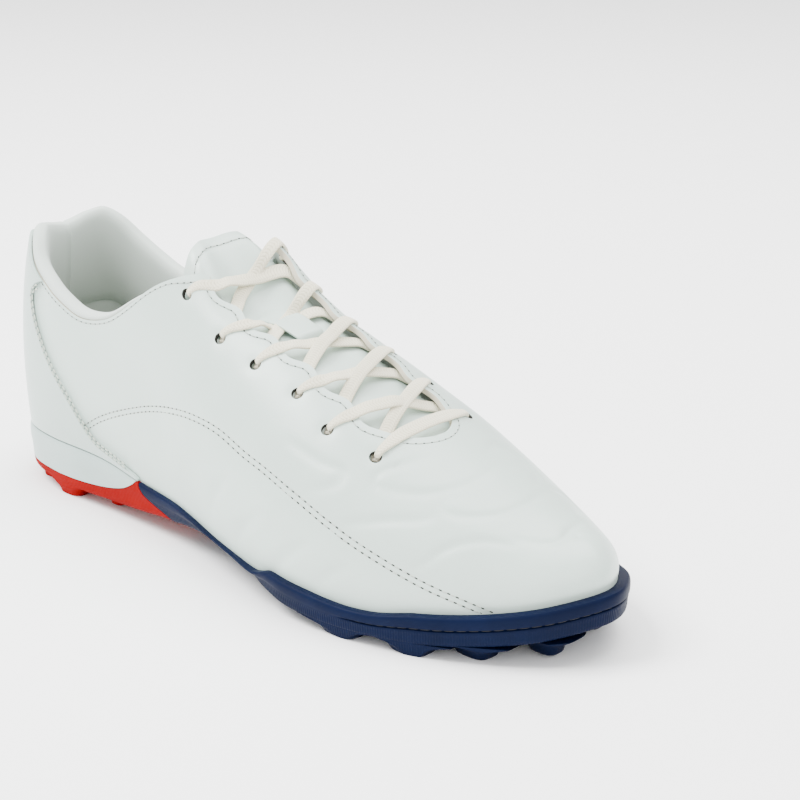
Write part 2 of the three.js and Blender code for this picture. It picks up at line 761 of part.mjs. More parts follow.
// One lug: a tapered block with flat sides, its top sunk in the sole and its bottom flat
function lug({ at, across, size, drop }) {
  const x = at * LENGTH;
  const base = soleBase(x);
  const bottom = Math.max(base - drop * LUG_HEIGHT, 0);
  const height = base - bottom + LUG_ROOT;
  const radius = (size * LUG_SIZE) / 2;
  const block = new THREE.CylinderGeometry(radius, LUG_TAPER * radius, height, LUG_SIDES);
  block.rotateY(Math.PI / LUG_SIDES);
  block.rotateX(Math.PI / 2);
  block.scale(1, LUG_ASPECT, 1);
  block.translate(x, across * BALL_WIDTH, bottom + height / 2);
  return solidOf(block);
}

function sidePoints(rows, shiftX, shiftZ) {
  return rows.map((row) => [row.at * LENGTH + shiftX, row.up * RIM_HEIGHT + shiftZ]);
}

function heelCup() {
  const line = sidePoints(CUP_LINE, 0, 0);
  const cut = throughWidth([...line, [line.at(-1)[0], BEYOND], [line[0][0], BEYOND]]);
  return geometryOf(soleBody().intersect(cut));
}

function heelOutsole() {
  const line = [...sidePoints(CUP_LINE, GAP, -GAP), ...sidePoints(SHANK_LINE, 0, 0)];
  const cut = throughWidth([[line[0][0], -BEYOND], [line.at(-1)[0], -BEYOND], ...line.reverse()]);
  let body = soleBody().intersect(cut);
  HEEL_LUGS.forEach((row) => {
    body = body.add(lug(row));
  });
  return geometryOf(body);
}

function outsole() {
  const line = sidePoints(SHANK_LINE, GAP, GAP);
  const far = LENGTH + BEYOND;
  const ahead = [[line.at(-1)[0], -BEYOND], [far, -BEYOND], [far, BEYOND]];
  const cut = throughWidth([[line[0][0], BEYOND], ...line, ...ahead]);
  let body = soleBody().intersect(cut);
  FOREFOOT_LUGS.forEach((row) => {
    body = body.add(lug(row));
  });
  return geometryOf(body);
}

// Insole: a flat board inside the upper, on the sole
function insole() {
  const loops = [GAP, GAP + INSOLE_THICKNESS].map((lift) => soleLoop(SOLE_STATIONS, (side, s) => {
    const { x } = outlinePoint(side, s, 0);
    const point = outlinePoint(side, s, rimWidth(x) + RIM_FIT + UPPER_WALL + INSOLE_FIT);
    point.z = rimTop(x) - RIM_DEPTH + lift;
    return point;
  }));
  return geometryOf(solid(stack(loops)));
}

// Open skin over a grid of places along and across the ridge of the last
function plate(rows, columns, place) {
  const points = [];
  const faces = [];
  for (let i = 0; i <= rows; i += 1) {
    for (let j = 0; j <= columns; j += 1) {
      points.push(place(i / rows, j / columns));
      if (i > 0 && j > 0) {
        const d = i * (columns + 1) + j;
        const b = d - columns - 1;
        faces.push([b - 1, d - 1, d], [b - 1, d, b]);
      }
    }
  }
  return { points, faces };
}

// Height of the tongue's face under the skin of the last: it rises to the upper at its sewn foot
function tongueLift(x) {
  const sunk = smoothStep(THROAT_END + TONGUE_RISE_PAST, THROAT_END - THROAT_ROUND, x);
  return -UPPER_WALL - 2 * GAP - LACE_ROOM * sunk;
}

// The tongue and the laces on it sink between the facings of the upper half of the throat
function sag(x, across) {
  const middle = Math.max(1 - ((2 * across) / THROAT_WIDTH) ** 2, 0);
  return TONGUE_SAG * middle * smoothStep(LAST_EYELET, FIRST_EYELET, x);
}

function tongue() {
  const skinOfTongue = plate(TONGUE_STEPS, TONGUE_COLUMNS, (u, v) => {
    const side = 2 * v - 1;
    const width = TONGUE_WIDTH + (TONGUE_FOOT_WIDTH - TONGUE_WIDTH) * u;
    const top = TONGUE_TOP + TONGUE_CORNER * Math.abs(side) ** 3;
    const x = top + (TONGUE_FOOT - top) * u;
    const across = (side * width) / 2;
    return acrossAt(x, across, tongueLift(x) - sag(x, across));
  });
  return geometryOf(solid(wall(skinOfTongue, 0, -TONGUE_THICKNESS, () => false)));
}

// Keeper: a strap along the tongue, sewn down at both ends, with room for two laces to cross under it
function keeper() {
  const rise = 2 * LACE_THICKNESS + KEEPER_ROOM;
  const strap = plate(KEEPER_STEPS, 2, (u, v) => {
    const x = KEEPER_START + KEEPER_LENGTH * u;
    const arch = rise * smoothStep(0, KEEPER_RISE, Math.min(u, 1 - u));
    const across = (v - 0.5) * KEEPER_WIDTH;
    return acrossAt(x, across, tongueLift(x) + GAP + arch - sag(x, across));
  });
  return geometryOf(solid(wall(strap, KEEPER_THICKNESS, 0, () => false)));
}

// One flat run of lace from its eyelet over its own facing to under the other one
function laceRun(row, side, over, kept) {
  const from = new THREE.Vector2(eyeletX(row), side * eyeletAcross(row));
  const to = new THREE.Vector2(eyeletX(row + LACE_SLANT), -side * (THROAT_WIDTH / 2 + LACE_TUCK));
  const under = -UPPER_WALL - 2 * GAP - LACE_THICKNESS;
  const rest = kept ? tongueLift(from.x) + LACE_CLEAR : LACE_SAG;
  const middle = over ? rest + LACE_THICKNESS - LACE_JOIN : rest;
  const centre = (t) => from.clone().lerp(to, t);
  const lift = (t) => {
    const dip = smoothStep(...(kept ? KEPT_DIP : LACE_DIP), t);
    const falls = GAP + LACE_CLEAR + (middle - GAP - LACE_CLEAR) * dip;
    return falls + (under - middle) * smoothStep(...LACE_DIVE, t);
  };
  const ahead = to.clone().sub(from).normalize();
  const beside = new THREE.Vector2(ahead.y, -ahead.x).multiplyScalar(LACE_WIDTH / 2);
  const strip = plate(LACE_STEPS, 1, (u, v) => {
    const place = centre(u).addScaledVector(beside, 1 - 2 * v);
    return acrossAt(place.x, place.y, lift(u) - sag(place.x, place.y));
  });
  return solid(wall(strip, LACE_THICKNESS, 0, () => false));
}

function laceCrossing(row) {
  const over = OVER_FROM.get(row);
  const runs = [LATERAL, MEDIAL].map((side) => laceRun(row, side, over === side, row === KEPT_ROW));
  return geometryOf(runs[0].add(runs[1]));
}

// The lowest lace: a bar between the two last eyelets, over both facings
function laceBar() {
  const reach = eyeletAcross(EYELET_ROWS);
  const strip = plate(BAR_STEPS, 1, (u, v) => {
    const x = LAST_EYELET + (v - 0.5) * LACE_WIDTH;
    return acrossAt(x, reach * (2 * u - 1), GAP + LACE_CLEAR);
  });
  const faces = strip.faces.map((face) => [...face].reverse());
  return geometryOf(solid(wall({ points: strip.points, faces }, LACE_THICKNESS, 0, () => false)));
}

function named(name, geometry, colour, roughness) {
  const material = new THREE.MeshStandardMaterial({ color: colour, roughness, metalness: 0 });
  const mesh = new THREE.Mesh(geometry, material);
  mesh.name = name;
  return mesh;
}

const shoe = new THREE.Group();
shoe.add(named('upper', upper(), '#dde3e0', 0.45));
shoe.add(named('heel_counter', heelCounter(), '#dbe4df', 0.4));
shoe.add(named('collar_padding', collarPadding(), '#b4bab2', 0.8));
shoe.add(named('tongue', tongue(), '#dfe5e2', 0.5));
shoe.add(named('lace_keeper', keeper(), '#dfe5e2', 0.5));
shoe.add(named('insole', insole(), '#c9cdc8', 0.8));
shoe.add(named('heel_cup', heelCup(), '#d6e0dc', 0.4));
shoe.add(named('heel_outsole', heelOutsole(), '#c83432', 0.55));
shoe.add(named('outsole', outsole(), '#1e2a45', 0.6));
shoe.add(named('lace_bar', laceBar(), '#f0eee3', 0.9));
for (let row = 1; row < EYELET_ROWS; row += 1) {
  shoe.add(named(`lace_crossing_${row}`, laceCrossing(row), '#f0eee3', 0.9));
}

// The origin is the middle of the shoe's box, on the floor
const box = new THREE.Box3().setFromObject(shoe);
shoe.position.set(-(box.min.x + box.max.x) / 2, -(box.min.y + box.max.y) / 2, -box.min.z);

export default shoe;
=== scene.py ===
import math

import bpy
import numpy as np
from mathutils import Matrix, Vector


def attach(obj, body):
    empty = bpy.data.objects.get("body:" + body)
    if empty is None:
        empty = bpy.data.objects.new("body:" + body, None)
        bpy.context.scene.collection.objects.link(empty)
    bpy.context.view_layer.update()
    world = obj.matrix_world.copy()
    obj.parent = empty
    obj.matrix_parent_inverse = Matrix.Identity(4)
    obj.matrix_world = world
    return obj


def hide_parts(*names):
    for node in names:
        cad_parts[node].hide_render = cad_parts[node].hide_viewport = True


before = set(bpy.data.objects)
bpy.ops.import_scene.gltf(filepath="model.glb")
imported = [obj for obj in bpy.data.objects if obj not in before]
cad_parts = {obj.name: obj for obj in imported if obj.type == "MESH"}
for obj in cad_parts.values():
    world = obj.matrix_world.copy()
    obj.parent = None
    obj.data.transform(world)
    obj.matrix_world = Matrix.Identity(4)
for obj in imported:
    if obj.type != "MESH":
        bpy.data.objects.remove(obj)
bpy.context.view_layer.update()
bpy.ops.object.select_all(action="DESELECT")

# Sizes that drive the last, its sole and its openings, in millimetres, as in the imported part
LENGTH = 288.0
BALL_WIDTH = 104.0
INSTEP_HEIGHT = 112.0
COLLAR_HEIGHT = 103.0
RIM_HEIGHT = 22.0
RIM_WIDTH = 2.6
TOE_RIM_EXTRA = 0.8
RIM_DEPTH = 3.0
RIM_FIT = 0.5
GAP = 0.3
HEEL_FAN = 32.0
TOE_FAN = 17.0
THROAT_WIDTH = 32.0
THROAT_START = 90.0
THROAT_END = 216.0
THROAT_ROUND = 14.0
SCALLOP = 1.3
FIRST_EYELET = 120.0
LAST_EYELET = 209.0
EYELET_ROWS = 6
LATERAL, MEDIAL = -1, 1
BACK_TO_ORIGIN = 144.323
SIDE_TO_ORIGIN = 0.302


def table(columns, rows):
    """Rows of numbers as named columns"""
    return {name: np.array([row[k] for row in rows], float) for k, name in enumerate(columns)}


# Tables of the last: places are shares of LENGTH, widths of BALL_WIDTH, sole heights of RIM_HEIGHT,
# ridge heights of INSTEP_HEIGHT and collar heights of COLLAR_HEIGHT
OUTLINE = table(("at", "lateral", "medial"), [
    (0.0, 0.0, 0.0), (0.018, 0.17, 0.17), (0.06, 0.275, 0.27), (0.13, 0.322, 0.315),
    (0.25, 0.325, 0.29), (0.38, 0.35, 0.265), (0.52, 0.43, 0.32), (0.66, 0.485, 0.44),
    (0.74, 0.468, 0.48), (0.84, 0.395, 0.43), (0.92, 0.275, 0.32), (0.97, 0.155, 0.205),
    (1.0, -0.025, 0.025)])
SOLE_SIDE = table(("at", "rim", "base"), [
    (0.0, 1.04, 0.3), (0.1, 1.03, 0.25), (0.2, 1.02, 0.22), (0.26, 0.97, 0.26), (0.32, 0.85, 0.32),
    (0.41, 0.77, 0.45), (0.51, 0.68, 0.41), (0.6, 0.61, 0.28), (0.68, 0.59, 0.18), (0.76, 0.61, 0.16),
    (0.84, 0.68, 0.19), (0.91, 0.79, 0.29), (0.96, 0.92, 0.41), (1.0, 1.06, 0.56)])
LAST = table(("at", "centre", "ridge", "swell_out", "swell_in", "square_out", "square_in"), [
    (0.0, 0.0, 1.16, 0.008, 0.008, 2.7, 2.7), (0.11, 0.0, 1.17, 0.015, 0.015, 2.7, 2.7),
    (0.2, -0.015, 1.16, 0.03, 0.03, 2.7, 2.75), (0.3, -0.035, 1.13, 0.04, 0.05, 2.7, 2.8),
    (0.39, -0.055, 1.04, 0.05, 0.07, 2.8, 3.0), (0.5, -0.06, 0.84, 0.05, 0.07, 2.8, 3.1),
    (0.6, -0.055, 0.73, 0.035, 0.05, 2.5, 2.7), (0.69, -0.05, 0.62, 0.02, 0.03, 2.35, 2.5),
    (0.77, -0.01, 0.515, 0.015, 0.02, 2.25, 2.25), (0.86, 0.02, 0.415, 0.01, 0.01, 2.25, 2.1),
    (0.94, 0.04, 0.335, 0.01, 0.01, 2.2, 2.2)])
COLLAR = table(("at", "height"), [
    (0.0, 0.975), (0.01, 0.99), (0.03, 1.0), (0.055, 0.965), (0.086, 0.905), (0.12, 0.86), (0.165, 0.81),
    (0.21, 0.775), (0.26, 0.79), (0.3, 0.835), (0.35, 0.905), (0.4, 0.985), (0.45, 1.08)])


def along(rows, column, x):
    """Smooth value of a table's column at places along the shoe"""
    at, value = rows["at"], rows[column]
    t = np.clip(np.asarray(x, float) / LENGTH, at[0], at[-1])
    i = np.clip(np.searchsorted(at, t, side="right") - 1, 0, len(at) - 2)
    slope = np.gradient(value, 1.0)
    slope[1:-1] = (value[2:] - value[:-2]) / (at[2:] - at[:-2])
    slope[0] = (value[1] - value[0]) / (at[1] - at[0])
    slope[-1] = (value[-1] - value[-2]) / (at[-1] - at[-2])
    span = at[i + 1] - at[i]
    u = (t - at[i]) / span
    rise = value[i + 1] - value[i]
    a, b = slope[i] * span, slope[i + 1] * span
    return value[i] + u * (a + u * (3 * rise - 2 * a - b + u * (a + b - 2 * rise)))


def smooth_step(low, high, x):
    """0 below low, 1 above high, soft in between"""
    t = np.clip((np.asarray(x, float) - low) / (high - low), 0, 1)
    return t * t * (3 - 2 * t)


def lengths_along(points):
    """Length of a line up to each of its points"""
    return np.concatenate([[0], np.cumsum(np.linalg.norm(np.diff(points, axis=0), axis=1))])


def at_lengths(at, lengths, values):
    """Values of a line at lengths along it"""
    return np.stack([np.interp(at, lengths, values[:, k]) for k in range(values.shape[1])], -1)


def outline_sides(samples=900):
    """Both sides of the outline from heel to toe: their points, headings and lengths so far"""
    out = np.stack([OUTLINE["at"] * LENGTH, -OUTLINE["lateral"] * BALL_WIDTH], 1)
    back = np.stack([OUTLINE["at"] * LENGTH, OUTLINE["medial"] * BALL_WIDTH], 1)[-2:0:-1]
    loop = np.concatenate([out, back])
    count = len(loop)
    toe = (len(out) - 1) / count
    sides = {}
    for side in (LATERAL, MEDIAL):
        k = np.linspace(0, 1, samples + 1)
        t = (toe * k if side == LATERAL else 1 - (1 - toe) * k) * count
        i = np.floor(t).astype(int)
        w = (t - i)[:, None]
        p = [loop[(i + n) % count] for n in (-1, 0, 1, 2)]
        d = [np.maximum(np.sum((p[n + 1] - p[n]) ** 2, 1) ** 0.25, 1e-4)[:, None] for n in range(3)]
        t1 = ((p[1] - p[0]) / d[0] - (p[2] - p[0]) / (d[0] + d[1]) + (p[2] - p[1]) / d[1]) * d[1]
        t2 = ((p[2] - p[1]) / d[1] - (p[3] - p[1]) / (d[1] + d[2]) + (p[3] - p[2]) / d[2]) * d[1]
        c2 = -3 * p[1] + 3 * p[2] - 2 * t1 - t2
        c3 = 2 * p[1] - 2 * p[2] + t1 + t2
        points = p[1] + t1 * w + c2 * w ** 2 + c3 * w ** 3
        heading = (t1 + 2 * c2 * w + 3 * c3 * w ** 2) * -side
        heading /= np.linalg.norm(heading, axis=1)[:, None]
        sides[side] = (points, heading, lengths_along(points))
    return sides


SIDES = outline_sides()


def outline(side, s, inset=0.0):
    """Points of the outline; side and s are arrays of one shape"""
    s = np.asarray(s, float)
    side = np.broadcast_to(side, s.shape)
    result = np.zeros(s.shape + (2,))
    for sign, (points, heading, lengths) in SIDES.items():
        here = side == sign
        reach = s[here] * lengths[-1]
        place = at_lengths(reach, lengths, points)
        ahead = at_lengths(reach, lengths, heading)
        ahead /= np.maximum(np.linalg.norm(ahead, axis=-1, keepdims=True), 1e-9)
        inwards = np.stack([sign * ahead[..., 1], -sign * ahead[..., 0]], -1)
        result[here] = place + inwards * np.broadcast_to(inset, s.shape)[here][..., None]
    return result


def rim_top(x):
    return along(SOLE_SIDE, "rim", x) * RIM_HEIGHT


def sole_base(x):
    return along(SOLE_SIDE, "base", x) * RIM_HEIGHT


def rim_width(x):
    return RIM_WIDTH + TOE_RIM_EXTRA * smooth_step(0.75 * LENGTH, 0.95 * LENGTH, x)


def ridge_at(s):
    """Place of the ridge that belongs to a share of the outline; sections fan out at heel and toe"""
    x = (outline(LATERAL, s)[..., 0] + outline(MEDIAL, s)[..., 0]) / 2
    left = LENGTH - x
    x = np.where(x < 2 * HEEL_FAN, HEEL_FAN + x * x / (4 * HEEL_FAN), x)
    return np.where(left < 2 * TOE_FAN, LENGTH - TOE_FAN - left * left / (4 * TOE_FAN), x)


HALVINGS = 26
SHARES = np.linspace(0, 1, 2001)
RIDGE_X = ridge_at(SHARES)


def share_at(x):
    return np.interp(x, RIDGE_X, SHARES)


class Cut:
    """Sections of the last at arrays of side and s"""

    def __init__(self, side, s):
        s = np.asarray(s, float)
        side = np.where((s <= 0) | (s >= 1), LATERAL, np.broadcast_to(side, s.shape))
        outer = outline(side, s)[..., 0]
        foot = outline(side, s, rim_width(outer) + RIM_FIT)
        ridge_x = ridge_at(s)
        self.side, self.s, self.outer = side, s, outer
        self.foot = np.concatenate([foot, (rim_top(outer) - RIM_DEPTH + GAP)[..., None]], -1)
        self.ridge = np.stack([ridge_x, along(LAST, "centre", ridge_x) * BALL_WIDTH,
                               along(LAST, "ridge", ridge_x) * INSTEP_HEIGHT], -1)
        out = side == LATERAL
        pick = lambda a, b: np.where(out, along(LAST, a, ridge_x), along(LAST, b, ridge_x))
        self.swell = pick("swell_out", "swell_in") * BALL_WIDTH
        self.square = pick("square_out", "square_in")

    def point(self, angle):
        """Point of the section at an angle from the foot, 0, to the ridge, a right angle"""
        power = 2 / self.square
        inwards = 1 - np.maximum(np.cos(angle), 0) ** power
        up = np.maximum(np.sin(angle), 0) ** power
        span = self.ridge - self.foot
        width = np.hypot(span[..., 0], span[..., 1])
        rim = (RIM_DEPTH + GAP) / span[..., 2]
        above = np.maximum(up - rim, 0) / (1 - rim)
        share = inwards - self.swell / width * np.maximum(np.sin(np.pi * above ** 0.75), 0) ** 1.2
        return self.foot + span * np.stack([share, share, up], -1)

    def angle_where(self, test):
        """Lowest angle at which a test of the section's point holds"""
        low = np.zeros(self.s.shape)
        high = np.full(self.s.shape, np.pi / 2)
        for _ in range(HALVINGS):
            middle = (low + high) / 2
            passed = test(self.point(middle))
            high = np.where(passed, middle, high)
            low = np.where(passed, low, middle)
        return (low + high) / 2

    def at_height(self, height):
        return self.angle_where(lambda p: p[..., 2] > height)

    def at_offset(self, offset):
        return self.angle_where(lambda p: np.abs(p[..., 1] - self.ridge[..., 1]) < offset)


def throat_half(x):
    """Half width of the throat, scalloped between the eyelets and rounded at its end"""
    pitch = (LAST_EYELET - FIRST_EYELET) / (EYELET_ROWS - 1)
    wave = SCALLOP * np.cos(2 * np.pi * (x - FIRST_EYELET) / pitch)
    half = THROAT_WIDTH / 2 - wave * smooth_step(0, pitch, THROAT_END - x)
    past = np.maximum((x - (THROAT_END - THROAT_ROUND)) / THROAT_ROUND, 0)
    return half * np.sqrt(np.maximum(1 - past ** 2, 0))


def collar_height(x):
    return along(COLLAR, "height", x) * COLLAR_HEIGHT


def top_angle(cut, drop=0.0, corner=0.06):
    """Angle of the top edge: along the collar, a drop lower, and along the throat, its corner rounded"""
    x = cut.ridge[..., 0]
    collar = cut.at_height(collar_height(cut.outer) - drop)
    edge = np.where(x < THROAT_START, np.pi / 2, cut.at_offset(throat_half(x)))
    near = np.maximum(corner - np.abs(collar - edge), 0) / corner
    return np.where(x >= THROAT_END - 1e-6, np.pi / 2, np.minimum(collar, edge) - near * near * corner / 4)


def across_point(x, across):
    """Point of the last over a place along its ridge and across it"""
    cut = Cut(np.where(across < 0, LATERAL, MEDIAL), share_at(x))
    return cut.point(cut.at_offset(np.abs(across)))


# Sizes of the shoe's own details, in millimetres
UPPER_WALL = 2.0
COUNTER_THICKNESS = 1.3
TONGUE_THICKNESS = 4.5
LACE_WIDTH = 4.9
LACE_THICKNESS = 1.0
LACE_ROOM = 2.0
LACE_TUCK = 1.5
LACE_SAG = -1.5
LACE_CLEAR = 0.5
LACE_OVER = 0.68
LACE_UNDER = -3.4
LACE_COLUMNS = 84
BAR_COLUMNS = 90
LACE_SIDES = 18
EYELET_INSET = 10.0
EYELET_DIAMETER = 4.4
TONGUE_TOP = 108.5
TONGUE_FOOT = 228.0
TONGUE_WIDTH = 54.0
TONGUE_FOOT_WIDTH = 42.0
TONGUE_CORNER = 13.0
TONGUE_SAG = 4.5
KEEPER_START = 134.0
KEEPER_LENGTH = 27.0
KEEPER_WIDTH = 12.5
KEEPER_SIDE = 2.0
KEEPER_THICKNESS = 1.0
KEEPER_ROOM = 0.4
KEEPER_SUNK = 1.6
ROLL_END = 113.0
FOREFOOT_STEP = 1.3
GROOVE_DEPTH = 1.2
LUG_HEIGHT = 6.0
LUG_SIZE = 20.0
LUG_ASPECT = 0.72
LUG_ROOT = 1.2
SKIRT_INSET = 3.0
SKIRT_TAPER = 1.35
SKIRT_SHARE = 0.42

# Lacing: the share of a row that each strand moves on, which strand lies on top, the strap's row, and how
# far the outer strands bow towards the toe
LACE_SLANT = {LATERAL: 0.64, MEDIAL: 0.92}
OVER_FROM = {1: LATERAL, 2: MEDIAL, 3: MEDIAL, 4: MEDIAL, 5: LATERAL}
KEPT_ROW = 2
LACE_BOW = {1: 5.0, 2: 4.5, 3: 2.5, 4: 2.5, 5: 1.5}
OUTER_EYELET_SHIFT = {
    1: (-1.2, 1.4), 2: (0.8, -0.4), 3: (0.4, 0.0), 4: (2.2, 0.6), 5: (0.6, -1.3), 6: (0.8, 0.0)}

# Seams: places along the shoe in shares of LENGTH, heights in millimetres
SIDE_SEAM = table(("at", "up"), [
    (0.2, 31.0), (0.245, 38.6), (0.3, 45.4), (0.37, 52.3), (0.435, 56.2), (0.48, 57.0), (0.52, 55.9),
    (0.57, 51.6), (0.61, 48.6), (0.673, 42.5), (0.743, 34.3), (0.809, 27.6), (0.85, 23.6), (0.882, 20.5),
    (0.915, 16.6)])
# Where the white cup meets the red heel and the red heel the navy sole, heights in shares of RIM_HEIGHT
CUP_LINE = table(("at", "up"), [
    (-0.05, 0.42), (0.12, 0.41), (0.19, 0.42), (0.24, 0.48), (0.28, 0.6), (0.3, 0.72), (0.315, 0.86),
    (0.33, 1.1)])
SHANK_LINE = table(("at", "up"), [
    (0.315, 1.1), (0.318, 0.9), (0.325, 0.74), (0.335, 0.65), (0.355, 0.56), (0.385, 0.47), (0.43, 0.3)])

# Creases of the worn leather: side, two ends as share of LENGTH and height, depth, width
CREASES = [
    (LATERAL, (0.487, 22), (0.55, 42), -0.55, 2.2),
    (LATERAL, (0.535, 15), (0.625, 37), -0.65, 2.0),
    (LATERAL, (0.575, 26), (0.66, 45), 0.3, 3.2),
    (LATERAL, (0.62, 14), (0.7, 31), -0.55, 2.0),
    (LATERAL, (0.7, 15), (0.755, 26), -0.4, 2.0),
    (LATERAL, (0.3, 24), (0.37, 36), 0.4, 5.0),
    (MEDIAL, (0.5, 20), (0.57, 40), -0.5, 2.4),
    (MEDIAL, (0.58, 16), (0.66, 33), -0.5, 2.4),
    (MEDIAL, (0.68, 15), (0.74, 28), -0.35, 2.2),
]

# Lugs: place along and across, size, and the share of LUG_HEIGHT that they stand down
HEEL_LUGS = [
    (0.035, 0.0, 0.75, 1.0), (0.075, -0.2, 0.65, 1.0), (0.075, 0.2, 0.65, 1.0),
    (0.15, -0.245, 1.15, 1.0), (0.15, 0.23, 1.15, 1.0), (0.115, 0.0, 0.6, 1.0),
    (0.2, -0.08, 0.65, 1.0), (0.2, 0.08, 0.65, 1.0), (0.235, -0.225, 0.6, 0.7), (0.235, 0.205, 0.6, 0.7)]
FOREFOOT_LUGS = [
    (0.645, -0.35, 0.8, 0.8), (0.645, 0.3, 0.8, 0.8), (0.65, -0.02, 0.65, 0.8), (0.7, -0.19, 0.8, 1.0),
    (0.7, 0.18, 0.8, 1.0), (0.73, -0.4, 1.35, 1.0), (0.735, 0.385, 1.3, 1.0), (0.76, 0.0, 0.8, 1.0),
    (0.79, -0.185, 0.75, 1.0), (0.79, 0.2, 0.75, 1.0), (0.817, -0.345, 1.35, 1.0), (0.825, 0.35, 1.3, 1.0),
    (0.845, 0.02, 0.8, 1.0), (0.875, -0.04, 0.5, 1.0), (0.88, 0.15, 0.7, 1.0), (0.876, -0.225, 1.25, 1.0),
    (0.895, 0.27, 1.1, 1.0), (0.935, -0.085, 1.0, 1.0), (0.93, 0.15, 0.8, 1.0)]

# How far the collar's leather ends below its padded roll
LEATHER_DROP = table(("at", "down"), [
    (0.0, 4.4), (0.1, 4.6), (0.18, 4.2), (0.26, 3.2), (0.33, 2.4), (0.4, 1.5), (0.46, 0.7)])

# The sole's rim and underside wave a little along the waist and behind the toe's bumper
SOLE_WAVE = table(("at", "rim", "base"), [
    (0.4, 0.0, 0.0), (0.45, -0.5, 1.6), (0.5, -1.3, 2.5), (0.55, -1.9, 2.6), (0.59, -2.1, 2.4),
    (0.604, -1.0, 1.6), (0.62, 0.7, 0.8), (0.65, 0.5, 0.0), (0.69, 0.0, 0.0), (0.72, -0.8, 0.0),
    (0.75, -1.5, 0.0), (0.785, -1.5, 0.0), (0.81, -0.7, 0.0), (0.83, 0.0, 0.0)])

# Soft lines pressed into the vamp: places along the ridge and across it, in shares of LENGTH and BALL_WIDTH
EMBOSSED = [
    [(0.77, -0.12), (0.755, -0.2), (0.742, -0.255), (0.747, -0.285), (0.775, -0.262), (0.803, -0.205),
     (0.82, -0.1), (0.817, 0.03)],
    [(0.827, -0.15), (0.817, -0.205), (0.829, -0.23), (0.851, -0.195), (0.871, -0.12), (0.875, -0.02),
     (0.866, 0.12)],
    [(0.903, -0.16), (0.924, -0.11), (0.931, -0.04), (0.92, 0.09)],
    [(0.72, -0.39), (0.752, -0.365), (0.778, -0.335), (0.807, -0.295), (0.82, -0.262)],
    [(0.822, -0.375), (0.838, -0.345), (0.853, -0.295), (0.876, -0.234), (0.905, -0.18)],
    [(0.63, -0.325), (0.676, -0.317), (0.707, -0.303), (0.703, -0.338), (0.675, -0.37)],
    [(0.79, 0.1), (0.78, 0.17), (0.795, 0.22), (0.83, 0.19), (0.853, 0.12)],
    [(0.86, 0.17), (0.865, 0.235), (0.89, 0.2), (0.905, 0.14)],
]

# Relief in millimetres: depth and width of the pressed seam, the embossed lines and the eyelets' dimples
SEAM_PRESS = (-0.4, 1.9)
EMBOSS_PRESS = (-0.6, 1.6)
EYELET_PRESS = (-0.6, 3.0)
CREASE_STRENGTH = 1.6
CREASE_BOW = 1.5

# Rows of stitches in millimetres: distance apart, length and width of a stitch
SEAM_STITCH = (2.9, 2.0, 0.55)
EDGE_STITCH = (2.9, 1.9, 0.45)
COUNTER_STITCH = (2.6, 2.0, 0.6)
TONGUE_STITCH = (3.0, 2.1, 0.5)
GROOVE_STITCH = (4.0, 3.3, 0.8)
SEAM_ROWS = (-1.0, 1.0)
COUNTER_ROWS = (0.9, 2.5)

# How the worn throat and collar have moved: place along the shoe, reach and rise, in millimetres
FACING_SUNK = (129.0, 15.0, -3.4)
EDGE_RAISED = (103.0, 16.0, 3.8)
FACING_RAISED = (114.0, 32.0, 3.6)
COLLAR_RAISED = (76.0, 18.0, 2.2)
PEAK_RAISED = (22.0, 14.0, 2.6)
TONGUE_FOLLOWS = 0.35


ORIGIN = np.array([-BACK_TO_ORIGIN, SIDE_TO_ORIGIN, 0.0])


def to_row(points):
    """From the last's frame in millimetres to the part's frame in metres"""
    return (np.asarray(points) + ORIGIN) / 1000


def in_last(points):
    return np.asarray(points) * 1000 - ORIGIN


def corners(piece, value="co"):
    """Places of a piece's corners as an array, or their normals"""
    flat = np.empty(len(piece.data.vertices) * 3)
    piece.data.vertices.foreach_get(value, flat)
    return flat.reshape(-1, 3)


def set_corners(piece, points):
    piece.data.vertices.foreach_set("co", np.asarray(points, np.float64).ravel())
    piece.data.update()


def pick(piece):
    """Makes a piece the only one chosen"""
    bpy.ops.object.select_all(action="DESELECT")
    piece.select_set(True)
    bpy.context.view_layer.objects.active = piece


def edit(piece, *steps):
    """Runs operators on all of a piece in edit mode"""
    pick(piece)
    bpy.ops.object.mode_set(mode="EDIT")
    bpy.ops.mesh.select_all(action="SELECT")
    for step in steps:
        step()
    bpy.ops.object.mode_set(mode="OBJECT")


def sheet(name, columns, rows, place):
    """A grid primitive whose every corner is placed by place(u, v), its meeting edges joined"""
    bpy.ops.object.select_all(action="DESELECT")
    bpy.ops.mesh.primitive_grid_add(x_subdivisions=columns, y_subdivisions=rows, size=1)
    piece = bpy.context.object
    piece.name = name
    piece.data.name = name
    uv = corners(piece)[:, :2] + 0.5
    set_corners(piece, to_row(place(uv[:, 0], uv[:, 1])))
    edit(piece, lambda: bpy.ops.mesh.remove_doubles(threshold=2e-5))
    bpy.ops.object.shade_smooth()
    return piece


def scale_uv(piece, along_u, along_v):
    """Gives the texture map of a sheet real lengths, in metres"""
    layer = piece.data.uv_layers.active.data
    flat = np.empty(len(layer) * 2)
    layer.foreach_get("uv", flat)
    flat = flat.reshape(-1, 2) * np.array([along_u, along_v])
    layer.foreach_set("uv", flat.ravel())


def apply_modifier(piece, kind, **settings):
    """Adds a modifier with its settings and applies it"""
    modifier = piece.modifiers.new(kind.lower(), kind)
    for key, value in settings.items():
        setattr(modifier, key, value)
    pick(piece)
    bpy.ops.object.modifier_apply(modifier=modifier.name)
    return piece


def smooth(piece, degrees=40):
    """Smooth shading but for edges sharper than an angle"""
    pick(piece)
    bpy.ops.object.shade_smooth_by_angle(angle=math.radians(degrees))
    return piece


